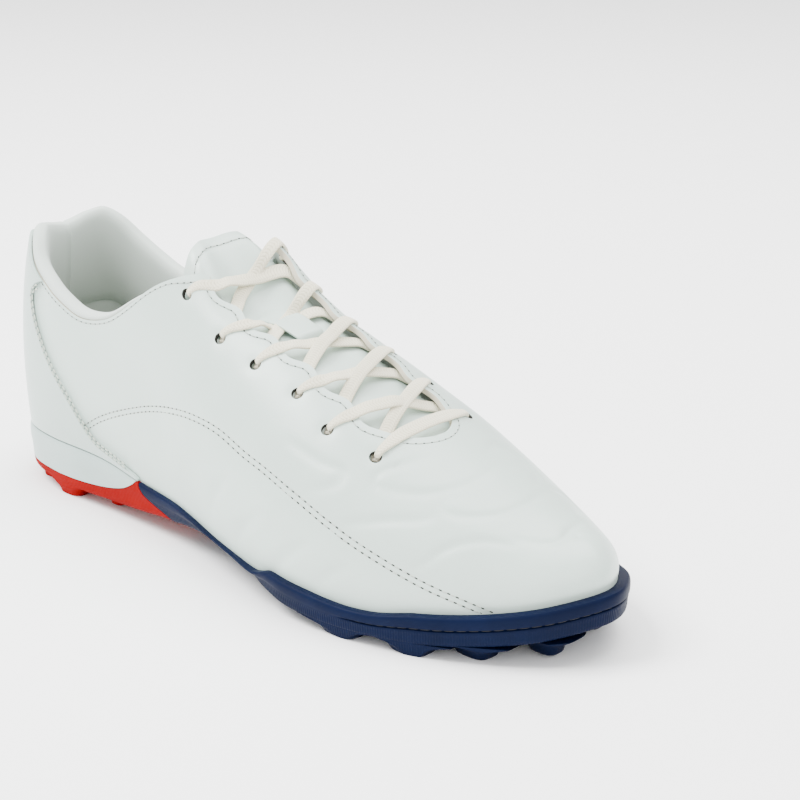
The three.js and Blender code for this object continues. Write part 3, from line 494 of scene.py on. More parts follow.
def wall(piece, thickness, edge=0.0, segments=2, inner_slot=0, rim_slot=0):
    """Gives a sheet its thickness, inwards, and rounds its edges"""
    apply_modifier(piece, "SOLIDIFY", thickness=thickness / 1000, offset=-1, use_even_offset=False,
                   material_offset=inner_slot, material_offset_rim=rim_slot, use_quality_normals=True)
    if edge:
        apply_modifier(piece, "BEVEL", width=edge / 1000, segments=segments, limit_method="ANGLE",
                       angle_limit=math.radians(55), harden_normals=False)
    return smooth(piece)


def coat(piece, *names):
    """Gives a piece its finishes in place of what it has"""
    piece.data.materials.clear()
    for name in names:
        piece.data.materials.append(MATERIALS[name])


def join(pieces, name):
    """Several meshes as one piece"""
    pick(pieces[0])
    for piece in pieces[1:]:
        piece.select_set(True)
    bpy.ops.object.join()
    pieces[0].name = name
    pieces[0].data.name = name
    return pieces[0]


def around(u):
    """Side and share of it for a place round the shoe, from the heel by the outer side"""
    u = np.clip(u, 0, 1)
    return np.where(u <= 0.5, LATERAL, MEDIAL), np.where(u <= 0.5, 2 * u, 2 - 2 * u)


def unit(vectors):
    return vectors / np.maximum(np.linalg.norm(vectors, axis=-1, keepdims=True), 1e-9)


# Relief of the leather: lines pressed in or raised along the surface
def share_of_outline(side, x):
    points = outline(side, SHARES)[:, 0]
    return np.interp(x, points, SHARES)


def side_point(side, x, height):
    """Point of the last's side at a place of the outline and a height"""
    cut = Cut(np.full(np.shape(x), side), share_of_outline(side, x))
    return cut.point(cut.at_height(height))


def seam_height(x):
    return along(SIDE_SEAM, "up", x)


def crease_line(side, start, end, count=40):
    """A crease from one place and height to another, bowed a little upwards"""
    t = np.linspace(0, 1, count)
    x = (start[0] + (end[0] - start[0]) * t) * LENGTH
    bow = CREASE_BOW * np.sin(np.pi * t)
    return side_point(side, x, start[1] + (end[1] - start[1]) * t + bow)


def relief_lines():
    """Every line of the leather's relief: its points, its depth along them and its width"""
    lines = []
    for side in (LATERAL, MEDIAL):
        x = np.linspace(0.205, 0.91, 240) * LENGTH
        points = side_point(side, x, seam_height(x))
        depth, width = SEAM_PRESS
        lines.append((points, np.full(len(points), depth), width))
    for side, start, end, depth, width in CREASES:
        points = crease_line(side, start, end)
        fade = np.sin(np.linspace(0, np.pi, len(points))) ** 0.7
        lines.append((points, CREASE_STRENGTH * depth * fade, width))
    for places in EMBOSSED:
        places = np.array(places) * np.array([LENGTH, BALL_WIDTH])
        places = spline(places, 60)[0]
        points = across_point(places[:, 0], places[:, 1])
        fade = np.sin(np.linspace(0.12, np.pi - 0.12, 60)) ** 0.5
        depth, width = EMBOSS_PRESS
        lines.append((points, depth * fade, width))
    for row in range(1, EYELET_ROWS + 1):
        for side in (LATERAL, MEDIAL):
            depth, width = EYELET_PRESS
            lines.append((eyelet(row, side)[None], np.array([depth]), width))
    return lines


def relief(points, lines):
    """How far the relief lifts each point: a line acts by its nearest point and fades with distance"""
    total = np.zeros(len(points))
    for line, depths, width in lines:
        low = line.min(0) - 4 * width
        high = line.max(0) + 4 * width
        near = np.all((points > low) & (points < high), axis=1)
        if not near.any():
            continue
        gap = np.linalg.norm(points[near][:, None] - line[None], axis=2)
        k = gap.argmin(1)
        total[near] += depths[k] * np.exp(-(gap[np.arange(len(k)), k] / width) ** 2)
    return total


def eyelet_x(row):
    return FIRST_EYELET + (LAST_EYELET - FIRST_EYELET) * (row - 1) / (EYELET_ROWS - 1)


def eyelet_place(row, side):
    """Place of an eyelet along and across the ridge; the outer ones are punched a little unevenly"""
    x = eyelet_x(row)
    across = throat_half(x) + EYELET_INSET
    if side == LATERAL:
        return np.array([x, -across]) + np.array(OUTER_EYELET_SHIFT[int(row)])
    return np.array([x, across])


def eyelet(row, side):
    place = eyelet_place(row, side)
    return across_point(place[:1], place[1:])[0]


def across_normal(x, across):
    """The way that the last's skin faces over a place along and across the ridge"""
    here = across_point(x, across)
    step = np.where(across < 0, -1.0, 1.0)
    ahead = across_point(x + 1, across) - here
    beside = (across_point(x, across + step) - here) * step[..., None]
    return unit(np.cross(ahead, beside))


def across_at(x, across, lift):
    """A place over the ridge: along it, across it and lifted from the last's skin"""
    x, across = np.broadcast_arrays(np.asarray(x, float), np.asarray(across, float))
    lift = np.broadcast_to(lift, x.shape)
    return across_point(x, across) + across_normal(x, across) * lift[..., None]


# Upper
def upper_stations():
    """Shares of the outline at which the upper's columns stand, closer where the throat ends"""
    runs = [
        np.linspace(0, share_at(100.0), 76)[:-1],
        np.linspace(share_at(100.0), share_at(THROAT_END - THROAT_ROUND), 78)[:-1],
        share_at(THROAT_END - THROAT_ROUND * (1 - np.linspace(0, 1, 16)) ** 2)[:-1],
        np.linspace(share_at(THROAT_END), 1, 78),
    ]
    return np.concatenate(runs)


STATIONS = upper_stations()
UPPER_ROWS = 54
FOOT_ROWS = 2
LEATHER_CORNER = 0.09
LINING_GAP = 0.2
PUNCH_LENGTH = 9.0


def leather_top(cut):
    """Angle of the leather's top edge: under the collar's roll, then along the throat"""
    return top_angle(cut, along(LEATHER_DROP, "down", cut.outer), LEATHER_CORNER)


def upper_angle(cut, v):
    """Angle of the upper's row v: first up to the sole's rim, then to the top edge, denser near it"""
    rim = cut.at_height(rim_top(cut.outer) + GAP)
    whole = np.pi / 2 - rim
    missing = np.pi / 2 - leather_top(cut)
    power = np.clip(0.85 * whole / (missing + 1e-9), 1, 3)
    foot = FOOT_ROWS / UPPER_ROWS
    t = np.clip((v - foot) / (1 - foot), 0, 1)
    return np.where(v < foot, rim * v / foot, rim + whole * t - missing * t ** power)


def upper_place(u, v):
    """Place of the upper's skin: u runs round the shoe, v up"""
    side, share = around(u)
    s = np.interp(share, np.linspace(0, 1, len(STATIONS)), STATIONS)
    cut = Cut(side, s)
    return cut.point(upper_angle(cut, v))


def press(piece, lines):
    """Presses the relief into a piece of leather"""
    points = corners(piece)
    amount = relief(in_last(points), lines)
    set_corners(piece, points + corners(piece, "normal") * amount[:, None] / 1000)


def cutter(point, normal, radius, length, sides=20):
    """Round punch through a point of the leather"""
    bpy.ops.object.select_all(action="DESELECT")
    bpy.ops.mesh.primitive_cylinder_add(vertices=sides, radius=radius / 1000, depth=length / 1000)
    tool = bpy.context.object
    turn = Vector((0, 0, 1)).rotation_difference(Vector(normal)).to_matrix().to_4x4()
    tool.data.transform(Matrix.Translation(Vector(to_row(point))) @ turn)
    return tool


def cut_with(piece, tool, operation="DIFFERENCE", crossing=False):
    """Cuts a piece by a tool, which is then removed; crossing says that the piece's own parts overlap"""
    apply_modifier(piece, "BOOLEAN", operation=operation, object=tool, solver="EXACT", use_self=crossing)
    bpy.data.objects.remove(tool)


def make_upper(lines):
    """Leather upper with its lining, cut edge and twelve eyelet holes"""
    piece = sheet("upper_leather", 2 * (len(STATIONS) - 1), UPPER_ROWS, upper_place)
    press(piece, lines)
    coat(piece, "upper", "lining", "raw_edge", "pit")
    wall(piece, UPPER_WALL - LINING_GAP, edge=0.4, inner_slot=1, rim_slot=2)
    punches = []
    for row in range(1, EYELET_ROWS + 1):
        for side in (LATERAL, MEDIAL):
            place = eyelet_place(row, side)
            normal = across_normal(place[:1], place[1:])[0]
            punches.append(cutter(eyelet(row, side), normal, EYELET_DIAMETER / 2, PUNCH_LENGTH))
    punches = join(punches, "punches")
    # The punches carry the dark finish, painted shade meant for the walls that they cut
    coat(punches, "pit")
    cut_with(piece, punches)
    return smooth(piece, 50)


# Heel counter: its front edge leaves the collar's roll, turns in and runs down to the cup; heights are
# shares of COLLAR_HEIGHT, places shares of LENGTH
COUNTER_EDGE = table(("at", "x"), [
    (0.2, 0.318), (0.233, 0.27), (0.26, 0.234), (0.315, 0.21), (0.39, 0.187), (0.466, 0.161), (0.54, 0.136),
    (0.6, 0.118), (0.68, 0.098), (0.74, 0.089), (0.775, 0.089), (0.8, 0.097), (0.82, 0.112), (0.835, 0.128)])


def counter_edge_x(height):
    return along(COUNTER_EDGE, "x", height / COLLAR_HEIGHT * LENGTH) * LENGTH


def counter_height(x, v):
    foot = rim_top(x) + 2 * GAP
    return foot + (collar_height(x) - along(LEATHER_DROP, "down", x) + GAP - foot) * v


def counter_front(v):
    """Place of the counter's front edge for a share of its height"""
    x = np.full(np.shape(v), 30.0)
    for _ in range(40):
        x = (x + counter_edge_x(counter_height(x, v))) / 2
    return x


def counter_place(u, v):
    """Place of the counter's skin: u runs from its outer front edge round the heel, v up"""
    side = np.where(u <= 0.5, LATERAL, MEDIAL)
    front = share_of_outline(LATERAL, counter_front(v))
    cut = Cut(side, np.abs(1 - 2 * u) * front)
    return skin_lifted(cut, cut.at_height(counter_height(cut.outer, v)), GAP + COUNTER_THICKNESS)


def skin_normal(cut, angle):
    """The way that the last's skin faces at angles of its sections"""
    here = cut.point(angle)
    step = 2e-3
    s = np.clip(cut.s + step, 0, 1)
    ahead = Cut(cut.side, s).point(angle) - here
    if np.any(cut.s + step > 1):
        back = here - Cut(cut.side, np.clip(cut.s - step, 0, 1)).point(angle)
        ahead = np.where((cut.s + step > 1)[..., None], back, ahead)
    upwards = cut.point(np.minimum(angle + 1e-3, np.pi / 2)) - cut.point(np.maximum(angle - 1e-3, 0))
    return unit(np.cross(ahead, upwards) * -cut.side[..., None])


def skin_lifted(cut, angle, lift):
    """Points lifted from the last's skin"""
    return cut.point(angle) + skin_normal(cut, angle) * np.asarray(lift)[..., None]


def make_counter():
    """Counter panel round the heel, its front edge rounded over"""
    piece = sheet("heel_counter_leather", 240, 90, counter_place)
    edit(piece, bpy.ops.mesh.flip_normals)
    coat(piece, "counter")
    wall(piece, COUNTER_THICKNESS, edge=0.5)
    return piece


# Collar: padded roll of lining above the leather's edge, over the top and down inside. The roll's profile
# is given as steps down, in shares of the leather's drop outside and of ROLL_DEPTH inside, and steps out
LINING_THICKNESS = 0.6
ROLL_DEPTH = 4.5
ROLL_SINK = 3.0
HEEL_SEAM_DEPTH = 0.9
HEEL_SEAM_SHARE = 0.004
ROLL = table(("at", "down", "out"), [
    (0.0, 1.9, -2.4), (0.08, 1.2, -2.1), (0.16, 0.98, -1.3), (0.24, 0.84, -0.35), (0.34, 0.5, 0.25),
    (0.43, 0.12, -0.9), (0.5, 0.0, -2.8), (0.57, 0.12, -4.8), (0.65, 0.9, -6.6), (0.74, 3.0, -7.6),
    (0.83, 5.5, -7.4), (0.92, 7.6, -5.6), (1.0, 8.6, -2.5)])


def roll_place(u, v):
    """Place of the roll; it thins and sinks under the facing where the throat starts"""
    reach = share_at(ROLL_END)
    side = np.where(u <= 0.5, LATERAL, MEDIAL)
    s = np.abs(1 - 2 * u) * reach
    cut = Cut(side, s)
    fade = 1 - smooth_step(0.8, 1.0, s / reach)
    drop = along(LEATHER_DROP, "down", cut.outer)
    down = along(ROLL, "down", v * LENGTH)
    outer_part = v <= 0.5
    down = np.where(outer_part, down * drop, down * ROLL_DEPTH)
    out = along(ROLL, "out", v * LENGTH)
    out = np.where(out > -2.1, -2.1 + (out + 2.1) * fade, -2.1 + (out + 2.1) * (0.45 + 0.55 * fade))
    out = out - HEEL_SEAM_DEPTH * np.exp(-(s / HEEL_SEAM_SHARE) ** 2) * smooth_step(0.3, 0.42, v)
    top = collar_height(cut.outer) - 0.4 - ROLL_SINK * (1 - fade)
    angle = np.minimum(cut.at_height(top - down), top_angle(cut))
    return skin_lifted(cut, angle, out)


def make_roll():
    """Collar lining as one padded roll with a seam at the heel"""
    piece = sheet("collar_lining", 260, 60, roll_place)
    edit(piece, bpy.ops.mesh.flip_normals)
    coat(piece, "roll")
    wall(piece, LINING_THICKNESS)
    return piece


# Tongue and keeper
def tongue_lift(x):
    """How far the tongue lies under the last's skin, a little less where it is sewn in"""
    start, end = THROAT_END + 4, THROAT_END - THROAT_ROUND
    return -UPPER_WALL - 2 * GAP - LACE_ROOM * smooth_step(0, 1, (start - x) / (start - end))


def sag(x, across):
    """How far the laces press the tongue's middle down, most at its top"""
    middle = np.maximum(1 - (2 * across / THROAT_WIDTH) ** 2, 0)
    return TONGUE_SAG * middle * smooth_step(0, 1, (LAST_EYELET - x) / (LAST_EYELET - FIRST_EYELET))


def tongue_place(u, v):
    """Place of the tongue's face: u runs from its top to its foot, v across; its edge is rounded"""
    side = np.sin(np.pi * (v - 0.5))
    width = TONGUE_WIDTH + (TONGUE_FOOT_WIDTH - TONGUE_WIDTH) * u
    top = TONGUE_TOP - 1.5 * side ** 2 + TONGUE_CORNER * (1 - np.sqrt(np.maximum(1 - side ** 8, 0)))
    x = top + (TONGUE_FOOT - top) * u
    across = side * width / 2 + 1.0 * (1 - u)
    edge = np.minimum(np.minimum((1 - np.abs(side)) * 6, u * 16), 1)
    puff = -1.1 * (1 - edge) ** 2 - 0.35 * np.exp(-((edge - 0.75) / 0.12) ** 2)
    return across_at(x, across, tongue_lift(x) - sag(x, across) + puff)


def make_tongue():
    """Padded tongue with its lining"""
    piece = sheet("tongue_leather", 110, 48, tongue_place)
    coat(piece, "upper", "lining")
    wall(piece, TONGUE_THICKNESS - LINING_THICKNESS, edge=1.5, segments=3, inner_slot=1)
    return piece


def keeper_lift(u):
    """The strap grows out of the tongue at its top and ends in a steeper sewn foot"""
    rise = 2 * LACE_THICKNESS + KEEPER_ROOM
    return -KEEPER_SUNK + (rise + KEEPER_SUNK) * smooth_step(0.08, 0.58, u) * smooth_step(-0.04, 0.16, 1 - u)


def keeper_place(u, v):
    """Place of the strap's face: u runs along it towards the toe, v across"""
    x = KEEPER_START + KEEPER_LENGTH * u
    across = (v - 0.5) * KEEPER_WIDTH * (1.0 + 0.2 * (1 - u) ** 2) + KEEPER_SIDE
    crown = -1.0 * (2 * v - 1) ** 2 * smooth_step(0, 0.3, u)
    lift = tongue_lift(x) + GAP + keeper_lift(u) + crown - sag(x, across) + KEEPER_THICKNESS
    return across_at(x, across, lift)


def make_keeper():
    """Leather strap over the second lace crossing"""
    piece = sheet("lace_keeper_strap", 40, 14, keeper_place)
    coat(piece, "upper")
    wall(piece, KEEPER_THICKNESS, edge=0.35)
    return piece


# Laces
def spline(points, count):
    """Smooth curve through points, with even steps of length"""
    points = np.asarray(points, float)
    padded = np.concatenate([[2 * points[0] - points[1]], points, [2 * points[-1] - points[-2]]])
    curve = []
    for k in range(len(points) - 1):
        p = padded[k:k + 4]
        t = np.linspace(0, 1, 24, endpoint=k == len(points) - 2)[:, None]
        curve.append(0.5 * (2 * p[1] + (p[2] - p[0]) * t + (2 * p[0] - 5 * p[1] + 4 * p[2] - p[3]) * t ** 2
                            + (3 * p[1] - p[0] - 3 * p[2] + p[3]) * t ** 3))
    curve = np.concatenate(curve)
    lengths = lengths_along(curve)
    return at_lengths(np.linspace(0, lengths[-1], count), lengths, curve), lengths[-1]


def ribbon(name, path, face, width, thickness, columns, squash=None):
    """Flat lace along a path: face gives the way its flat side looks, squash narrows it"""
    path, length = spline(path, columns + 1)
    face = spline(face, columns + 1)[0]
    ahead = unit(np.gradient(path, axis=0))
    beside = unit(np.cross(face, ahead))
    flat = unit(np.cross(ahead, beside))
    narrow = np.ones(columns + 1) if squash is None else np.interp(np.linspace(0, 1, columns + 1), *squash)

    def place(u, v):
        k = np.rint(u * columns).astype(int)
        turn = 2 * np.pi * v
        closed = np.where((k == 0) | (k == columns), 0.02, 1.0)
        half = width / 2 * narrow[k] * closed
        painted_shade = thickness / 2 * (1 + 0.9 * (1 - narrow[k])) * closed
        across = np.sign(np.cos(turn)) * np.abs(np.cos(turn)) ** 0.55
        up = np.sign(np.sin(turn)) * np.abs(np.sin(turn)) ** 0.5
        droop = -0.1 * across ** 2
        return path[k] + beside[k] * (half * across)[:, None] + flat[k] * (painted_shade * up + droop)[:, None]

    piece = sheet(name, columns, LACE_SIDES, place)
    scale_uv(piece, length / 1000, 2 * (width + thickness) / 1000)
    coat(piece, "lace")
    edit(piece, lambda: bpy.ops.mesh.normals_make_consistent(inside=False))
    return piece


def lace_run(row, side):
    """From its eyelet over its own facing, across the tongue, under the other facing to the next eyelet"""
    start = eyelet_place(row, side)
    tuck = np.array([eyelet_x(row + LACE_SLANT[side]), -side * (THROAT_WIDTH / 2 + LACE_TUCK)])
    goal = eyelet_place(row + 1, -side)
    over = OVER_FROM[row] == side
    kept = row == KEPT_ROW
    middle = tongue_lift(start[0]) + LACE_CLEAR if kept else LACE_SAG
    if over:
        middle = middle + LACE_THICKNESS
    half = LACE_THICKNESS / 2
    way = unit(tuck - start)
    hole = start + way * 0.7
    over_run = [
        (0.1, 0.58), (0.2, LACE_OVER), (0.32, (LACE_OVER + middle + half) / 2 + 0.2), (0.45, middle + half),
        (0.58, middle + half), (0.74, (middle - 3.0) / 2), (0.88, -3.1)]
    steps = [(hole, LACE_UNDER), (hole, -1.4), (hole + way * 0.7, 0.0)]
    steps += [(start + (tuck - start) * share, lift) for share, lift in over_run]
    steps += [(tuck, -3.3), (tuck + (goal - tuck) * 0.5, LACE_UNDER), (goal, -3.0), (goal, -1.6)]
    places = np.array([place for place, lift in steps])
    t = (places[:, 1] - start[1]) / (tuck[1] - start[1])
    bow = LACE_BOW[row] if side == LATERAL else 0.0
    places[:, 0] += bow * smooth_step(0.02, 0.2, t) * (1 - smooth_step(0.25, 0.95, t))
    lifts = np.array([lift for place, lift in steps])
    path = across_at(places[:, 0], places[:, 1], lifts - sag(places[:, 0], places[:, 1]))
    face = across_normal(places[:, 0], places[:, 1])
    ahead = unit(path[6] - path[3])
    face[0] = face[1] = -ahead
    face[2] = unit(face[2] - 0.8 * ahead)
    face[-1] = face[-2]
    name = f"lace_{row}_{'outer' if side == LATERAL else 'inner'}"
    return ribbon(name, path, face, LACE_WIDTH, LACE_THICKNESS, LACE_COLUMNS,
                  squash=([0, 0.07, 0.17, 0.26, 0.88, 1], [0.45, 0.5, 0.86, 1, 1, 0.6]))


def lace_bar():
    """Straight bar of the lace between the two eyelets nearest the toe"""
    outer, inner = eyelet_place(EYELET_ROWS, LATERAL), eyelet_place(EYELET_ROWS, MEDIAL)
    t = np.array([0.015, 0.015, 0.03, 0.08, 0.25, 0.5, 0.75, 0.92, 0.97, 0.985, 0.985])
    lifts = np.array([LACE_UNDER, -1.4, 0.1, 0.65, 0.6, 0.6, 0.6, 0.65, 0.1, -1.4, LACE_UNDER])
    x = outer[0] + (inner[0] - outer[0]) * t + 1.2 * np.sin(np.pi * t)
    across = outer[1] + (inner[1] - outer[1]) * t
    path = across_at(x, across, lifts)
    face = across_normal(x, across)
    way = unit(path[5] - path[3])
    face[0] = face[1] = -way
    face[-1] = face[-2] = way
    face[2] = unit(face[2] - 0.8 * way)
    face[-3] = unit(face[-3] + 0.8 * way)
    return ribbon("lace_bar_strip", path, face, LACE_WIDTH, LACE_THICKNESS, BAR_COLUMNS,
                  squash=([0, 0.07, 0.2, 0.3, 0.7, 0.8, 0.93, 1], [0.45, 0.5, 0.88, 1, 1, 0.88, 0.5, 0.45]))


# Sole
# Its side: v, height as a share of the way from base to rim, and distance inside the outline in millimetres
PROFILE = table(("at", "up", "in"), [
    (0.3, 0.0, 3.9), (0.34, 0.01, 2.6), (0.37, 0.06, 2.1), (0.42, 0.2, 1.8), (0.48, 0.42, 1.6),
    (0.5, 0.5, 1.45), (0.515, 0.535, 1.4), (0.53, 0.575, 1.3), (0.545, 0.615, 1.2), (0.56, 0.65, 1.1),
    (0.6, 0.8, 1.0), (0.64, 0.92, 1.15), (0.665, 0.98, 1.5), (0.68, 1.0, 2.0)])
SIDE_START, SIDE_END = PROFILE["at"][0], PROFILE["at"][-1]
LIP_TURN = 0.02
DROP_START, BED_START = 0.7, 0.74
GROOVE_AT, GROOVE_REACH = 0.528, 0.009
STEP_START, STEP_END = 0.515, 0.61
WAIST_IN = 1.4
SOLE_COLUMNS = 520
SOLE_ROWS = 64


def sole_middle(s):
    """Middle line of the sole for shares of the outline"""
    x = np.clip((outline(LATERAL, s)[..., 0] + outline(MEDIAL, s)[..., 0]) / 2, 16, LENGTH - 16)
    return x, np.stack([x, along(LAST, "centre", x) * BALL_WIDTH * 0.3], -1)


def forefoot_step(x):
    return FOREFOOT_STEP * smooth_step(STEP_START, STEP_END, x / LENGTH)


def sole_place(u, v):
    """Place of the sole's skin: v runs from below its middle up the side, over the lip and into its bed"""
    side, s = around(u)
    outer = outline(side, s)[..., 0]
    rim = rim_top(outer) + along(SOLE_WAVE, "rim", outer)
    wave = along(SOLE_WAVE, "base", outer)
    base = sole_base(outer) + wave
    t = np.clip(v, SIDE_START, SIDE_END) * LENGTH
    up, inset = along(PROFILE, "up", t), along(PROFILE, "in", t)
    waist = WAIST_IN * np.clip(wave / SOLE_WAVE["base"].max(), 0, 1) * (1 - smooth_step(0.5, 0.62, v))
    wider = forefoot_step(outer) * smooth_step(0.3, 0.4, v) - waist
    groove = GROOVE_DEPTH * smooth_step(0.735, 0.765, outer / LENGTH)
    groove = groove * np.exp(-((v - GROOVE_AT) / GROOVE_REACH) ** 2)
    wall_point = outline(side, s, inset - wider + groove)
    z = base + (rim - base) * up
    lip = outline(side, s, rim_width(outer) + RIM_FIT)
    middle_x, middle = sole_middle(s)
    below = np.clip(v / SIDE_START, 0, 1)[..., None]
    flat = wall_point * below + middle * (1 - below)
    inner = np.clip((v - BED_START) / (1 - BED_START), 0, 1)[..., None]
    bed = lip * (1 - inner) + middle * inner
    turned = np.clip((v - SIDE_END) / LIP_TURN, 0, 1)[..., None]
    lip_top = wall_point * (1 - turned) + lip * turned
    down = np.clip((v - DROP_START) / (BED_START - DROP_START), 0, 1) * RIM_DEPTH
    xy = np.where((v < SIDE_START)[..., None], flat, np.where((v < BED_START)[..., None], lip_top, bed))
    middle_base = sole_base(middle_x) + along(SOLE_WAVE, "base", middle_x)
    z = z + (middle_base - base) * (1 - below[..., 0]) + (rim_top(middle_x) - rim) * inner[..., 0]
    return np.concatenate([xy, (z - down)[..., None]], -1)


def block(name, outline_points):
    """Cutting block across the whole shoe, from its outline seen from the side"""
    bpy.ops.object.select_all(action="DESELECT")
    bpy.ops.mesh.primitive_circle_add(vertices=len(outline_points), fill_type="NGON")
    tool = bpy.context.object
    tool.name = name
    set_corners(tool, to_row([(x, -90.0, z) for x, z in outline_points]))
    edit(tool, lambda: bpy.ops.mesh.extrude_region_move(TRANSFORM_OT_translate={"value": (0, 0.18, 0)}),
         lambda: bpy.ops.mesh.select_all(action="SELECT"),
         lambda: bpy.ops.mesh.normals_make_consistent(inside=False))
    return tool


def line_points(line, shift_x=0.0, shift_z=0.0, count=36):
    """Points of a line of the sole, shifted by millimetres"""
    x = np.linspace(line["at"][0], line["at"][-1], count) * LENGTH
    z = along(line, "up", x) * RIM_HEIGHT
    return list(zip(x + shift_x, z + shift_z))


def make_lug():
    """One lug of unit size: a flat bottom, hollow flanks and a wide root"""
    bpy.ops.object.select_all(action="DESELECT")
    bpy.ops.mesh.primitive_circle_add(vertices=32, radius=0.52, fill_type="NGON")
    lug = bpy.context.object
    lug.name = "lug"
    pick(lug)
    bpy.ops.object.mode_set(mode="EDIT")
    bpy.ops.mesh.select_all(action="SELECT")
    bpy.ops.mesh.flip_normals()
    for rise, grow in ((0.1, 1.05), (0.2, 1.07), (0.2, 1.1), (0.2, 1.17), (0.15, 1.28), (0.15, 1.3)):
        bpy.ops.mesh.extrude_region_move(TRANSFORM_OT_translate={"value": (0, 0, rise)})
        bpy.ops.transform.resize(value=(grow, grow, 1))
    bpy.ops.mesh.select_all(action="SELECT")
    bpy.ops.mesh.normals_make_consistent(inside=False)
    bpy.ops.object.mode_set(mode="OBJECT")
    points = corners(lug)
    turn = np.arctan2(points[:, 1], points[:, 0])
    radius = np.hypot(points[:, 0], points[:, 1])
    square = (np.abs(np.cos(turn)) ** 3.2 + np.abs(np.sin(turn)) ** 3.2) ** (-1 / 3.2)
    points[:, 0] = radius * square * np.cos(turn)
    points[:, 1] = radius * square * np.sin(turn)
    set_corners(lug, points)
    apply_modifier(lug, "BEVEL", width=0.05, segments=2, limit_method="ANGLE", angle_limit=math.radians(50))
    return lug


def skirt_top(x):
    return sole_base(x) + SKIRT_SHARE * (rim_top(x) - sole_base(x))


def skirt_place(u, v):
    """Tapered block under the sole's edge, to which the outer lugs are trimmed"""
    side, s = around(u)
    outer = outline(side, s)[..., 0]
    t = np.clip((v - 0.25) / 0.5, 0, 1)
    edge = outline(side, s, SKIRT_INSET - SKIRT_TAPER * t ** 0.7 - forefoot_step(outer))
    top = skirt_top(outer)
    z = np.where(v <= 0.25, -1.0, top * t)
    middle_x, middle = sole_middle(s)
    blend = np.clip(np.minimum(v / 0.2, (1 - v) / 0.2), 0, 1)[..., None]
    middle_top = skirt_top(middle_x)
    z = np.where(v > 0.8, top + (middle_top - top) * (1 - blend[..., 0]), z)
    return np.concatenate([edge * blend + middle * (1 - blend), z[..., None]], -1)


def copy_of(piece, name):
    """A copy of a piece with a mesh of its own"""
    copy = piece.copy()
    copy.data = piece.data.copy()
    bpy.context.scene.collection.objects.link(copy)
    copy.name = name
    copy.data.name = name
    return copy


def lugs(rows, lug):
    """The lugs of one rubber as copies of a unit lug, each rooted in the sole above it"""
    made = []
    for at, across, size, drop in rows:
        x = at * LENGTH
        base = float(sole_base(x))
        bottom = max(base - drop * LUG_HEIGHT, 0.0)
        height = base - bottom + LUG_ROOT
        copy = copy_of(lug, "lug_copy")
        centre = to_row([x, across * BALL_WIDTH, bottom])
        radius = size * LUG_SIZE / 2 / 1000
        scale = Matrix.Diagonal((radius, radius * LUG_ASPECT * 1.1, height / 1000, 1))
        copy.data.transform(Matrix.Translation(Vector(centre)) @ scale)
        made.append(copy)
    return made


def make_sole():
    """White cup, red heel and navy sole, cut from one skin, with their lugs"""
    whole = sheet("sole_whole", SOLE_COLUMNS, SOLE_ROWS, sole_place)
    lug = make_lug()
    cup, shank = line_points(CUP_LINE), line_points(SHANK_LINE)
    top, under, ahead = 60, -40, LENGTH + 40
    red = line_points(CUP_LINE, 0.0, -0.25)[:-1] + [(shank[0][0] - 0.5, shank[0][1])]
    red += [(x - 0.15, z - 0.1) for x, z in shank] + [(shank[-1][0], under), (cup[0][0], under)]
    navy = [(x + 0.15, z + 0.1) for x, z in shank]
    navy += [(shank[-1][0], under), (ahead, under), (ahead, top), (shank[0][0], top)]
    parts = {}
    for name, finish, rows, shape in (
            ("heel_cup_rubber", "cup", [], cup + [(cup[-1][0], top), (cup[0][0], top)]),
            ("heel_rubber", "heel", HEEL_LUGS, red),
            ("sole_rubber", "sole", FOREFOOT_LUGS, navy)):
        piece = copy_of(whole, name)
        cut_with(piece, block(name + "_tool", shape), "INTERSECT")
        coat(piece, finish)
        smooth(piece, 35)
        if rows:
            made = join(lugs(rows, lug), name + "_lugs")
            cut_with(made, sheet("skirt", 400, 20, skirt_place), "INTERSECT", crossing=True)
            coat(made, finish)
            smooth(join([piece, made], name), 35)
        parts[name] = piece
    bpy.data.objects.remove(whole)
    bpy.data.objects.remove(lug)
    return parts


# Stitches
def make_stitch():
    """One stitch of unit size: a short rounded thread lying along X"""
    bpy.ops.object.select_all(action="DESELECT")
    bpy.ops.mesh.primitive_uv_sphere_add(segments=6, ring_count=5, radius=0.5)
    stitch = bpy.context.object
    pick(stitch)
    points = corners(stitch)
    points = np.stack([points[:, 2], points[:, 0], points[:, 1]], 1)
    points[:, 0] = np.sign(points[:, 0]) * np.abs(points[:, 0] * 2) ** 0.6 / 2
    set_corners(stitch, points)
    edit(stitch, lambda: bpy.ops.mesh.normals_make_consistent(inside=False))
    stitch.name = "stitch"
    return stitch


def scatter(name, template, places, axes, sizes, finish):
    """Many copies of a small template as one mesh; axes holds each copy's ahead, beside and up"""
    base = corners(template)
    faces = [tuple(polygon.vertices) for polygon in template.data.polygons]
    points, all_faces = [], []
    for k, place in enumerate(places):
        ahead, beside, up = axes[k]
        local = base * sizes[k]
        points.append(place + local[:, :1] * ahead + local[:, 1:2] * beside + local[:, 2:] * up)
        offset = k * len(base)
        all_faces += [tuple(index + offset for index in face) for face in faces]
    mesh = bpy.data.meshes.new(name)
    mesh.from_pydata(to_row(np.concatenate(points)).tolist(), [], all_faces)
    piece = bpy.data.objects.new(name, mesh)
    coat(piece, finish)
    bpy.context.scene.collection.objects.link(piece)
    pick(piece)
    bpy.ops.object.shade_smooth()
    return piece


def frames(line, up, lengths, at):
    """Places at lengths along a line, their ahead, beside and up, and the up alone"""
    normal = unit(at_lengths(at, lengths, up))
    ahead = unit(at_lengths(at + 0.4, lengths, line) - at_lengths(at - 0.4, lengths, line))
    return at_lengths(at, lengths, line), list(zip(ahead, unit(np.cross(normal, ahead)), normal)), normal


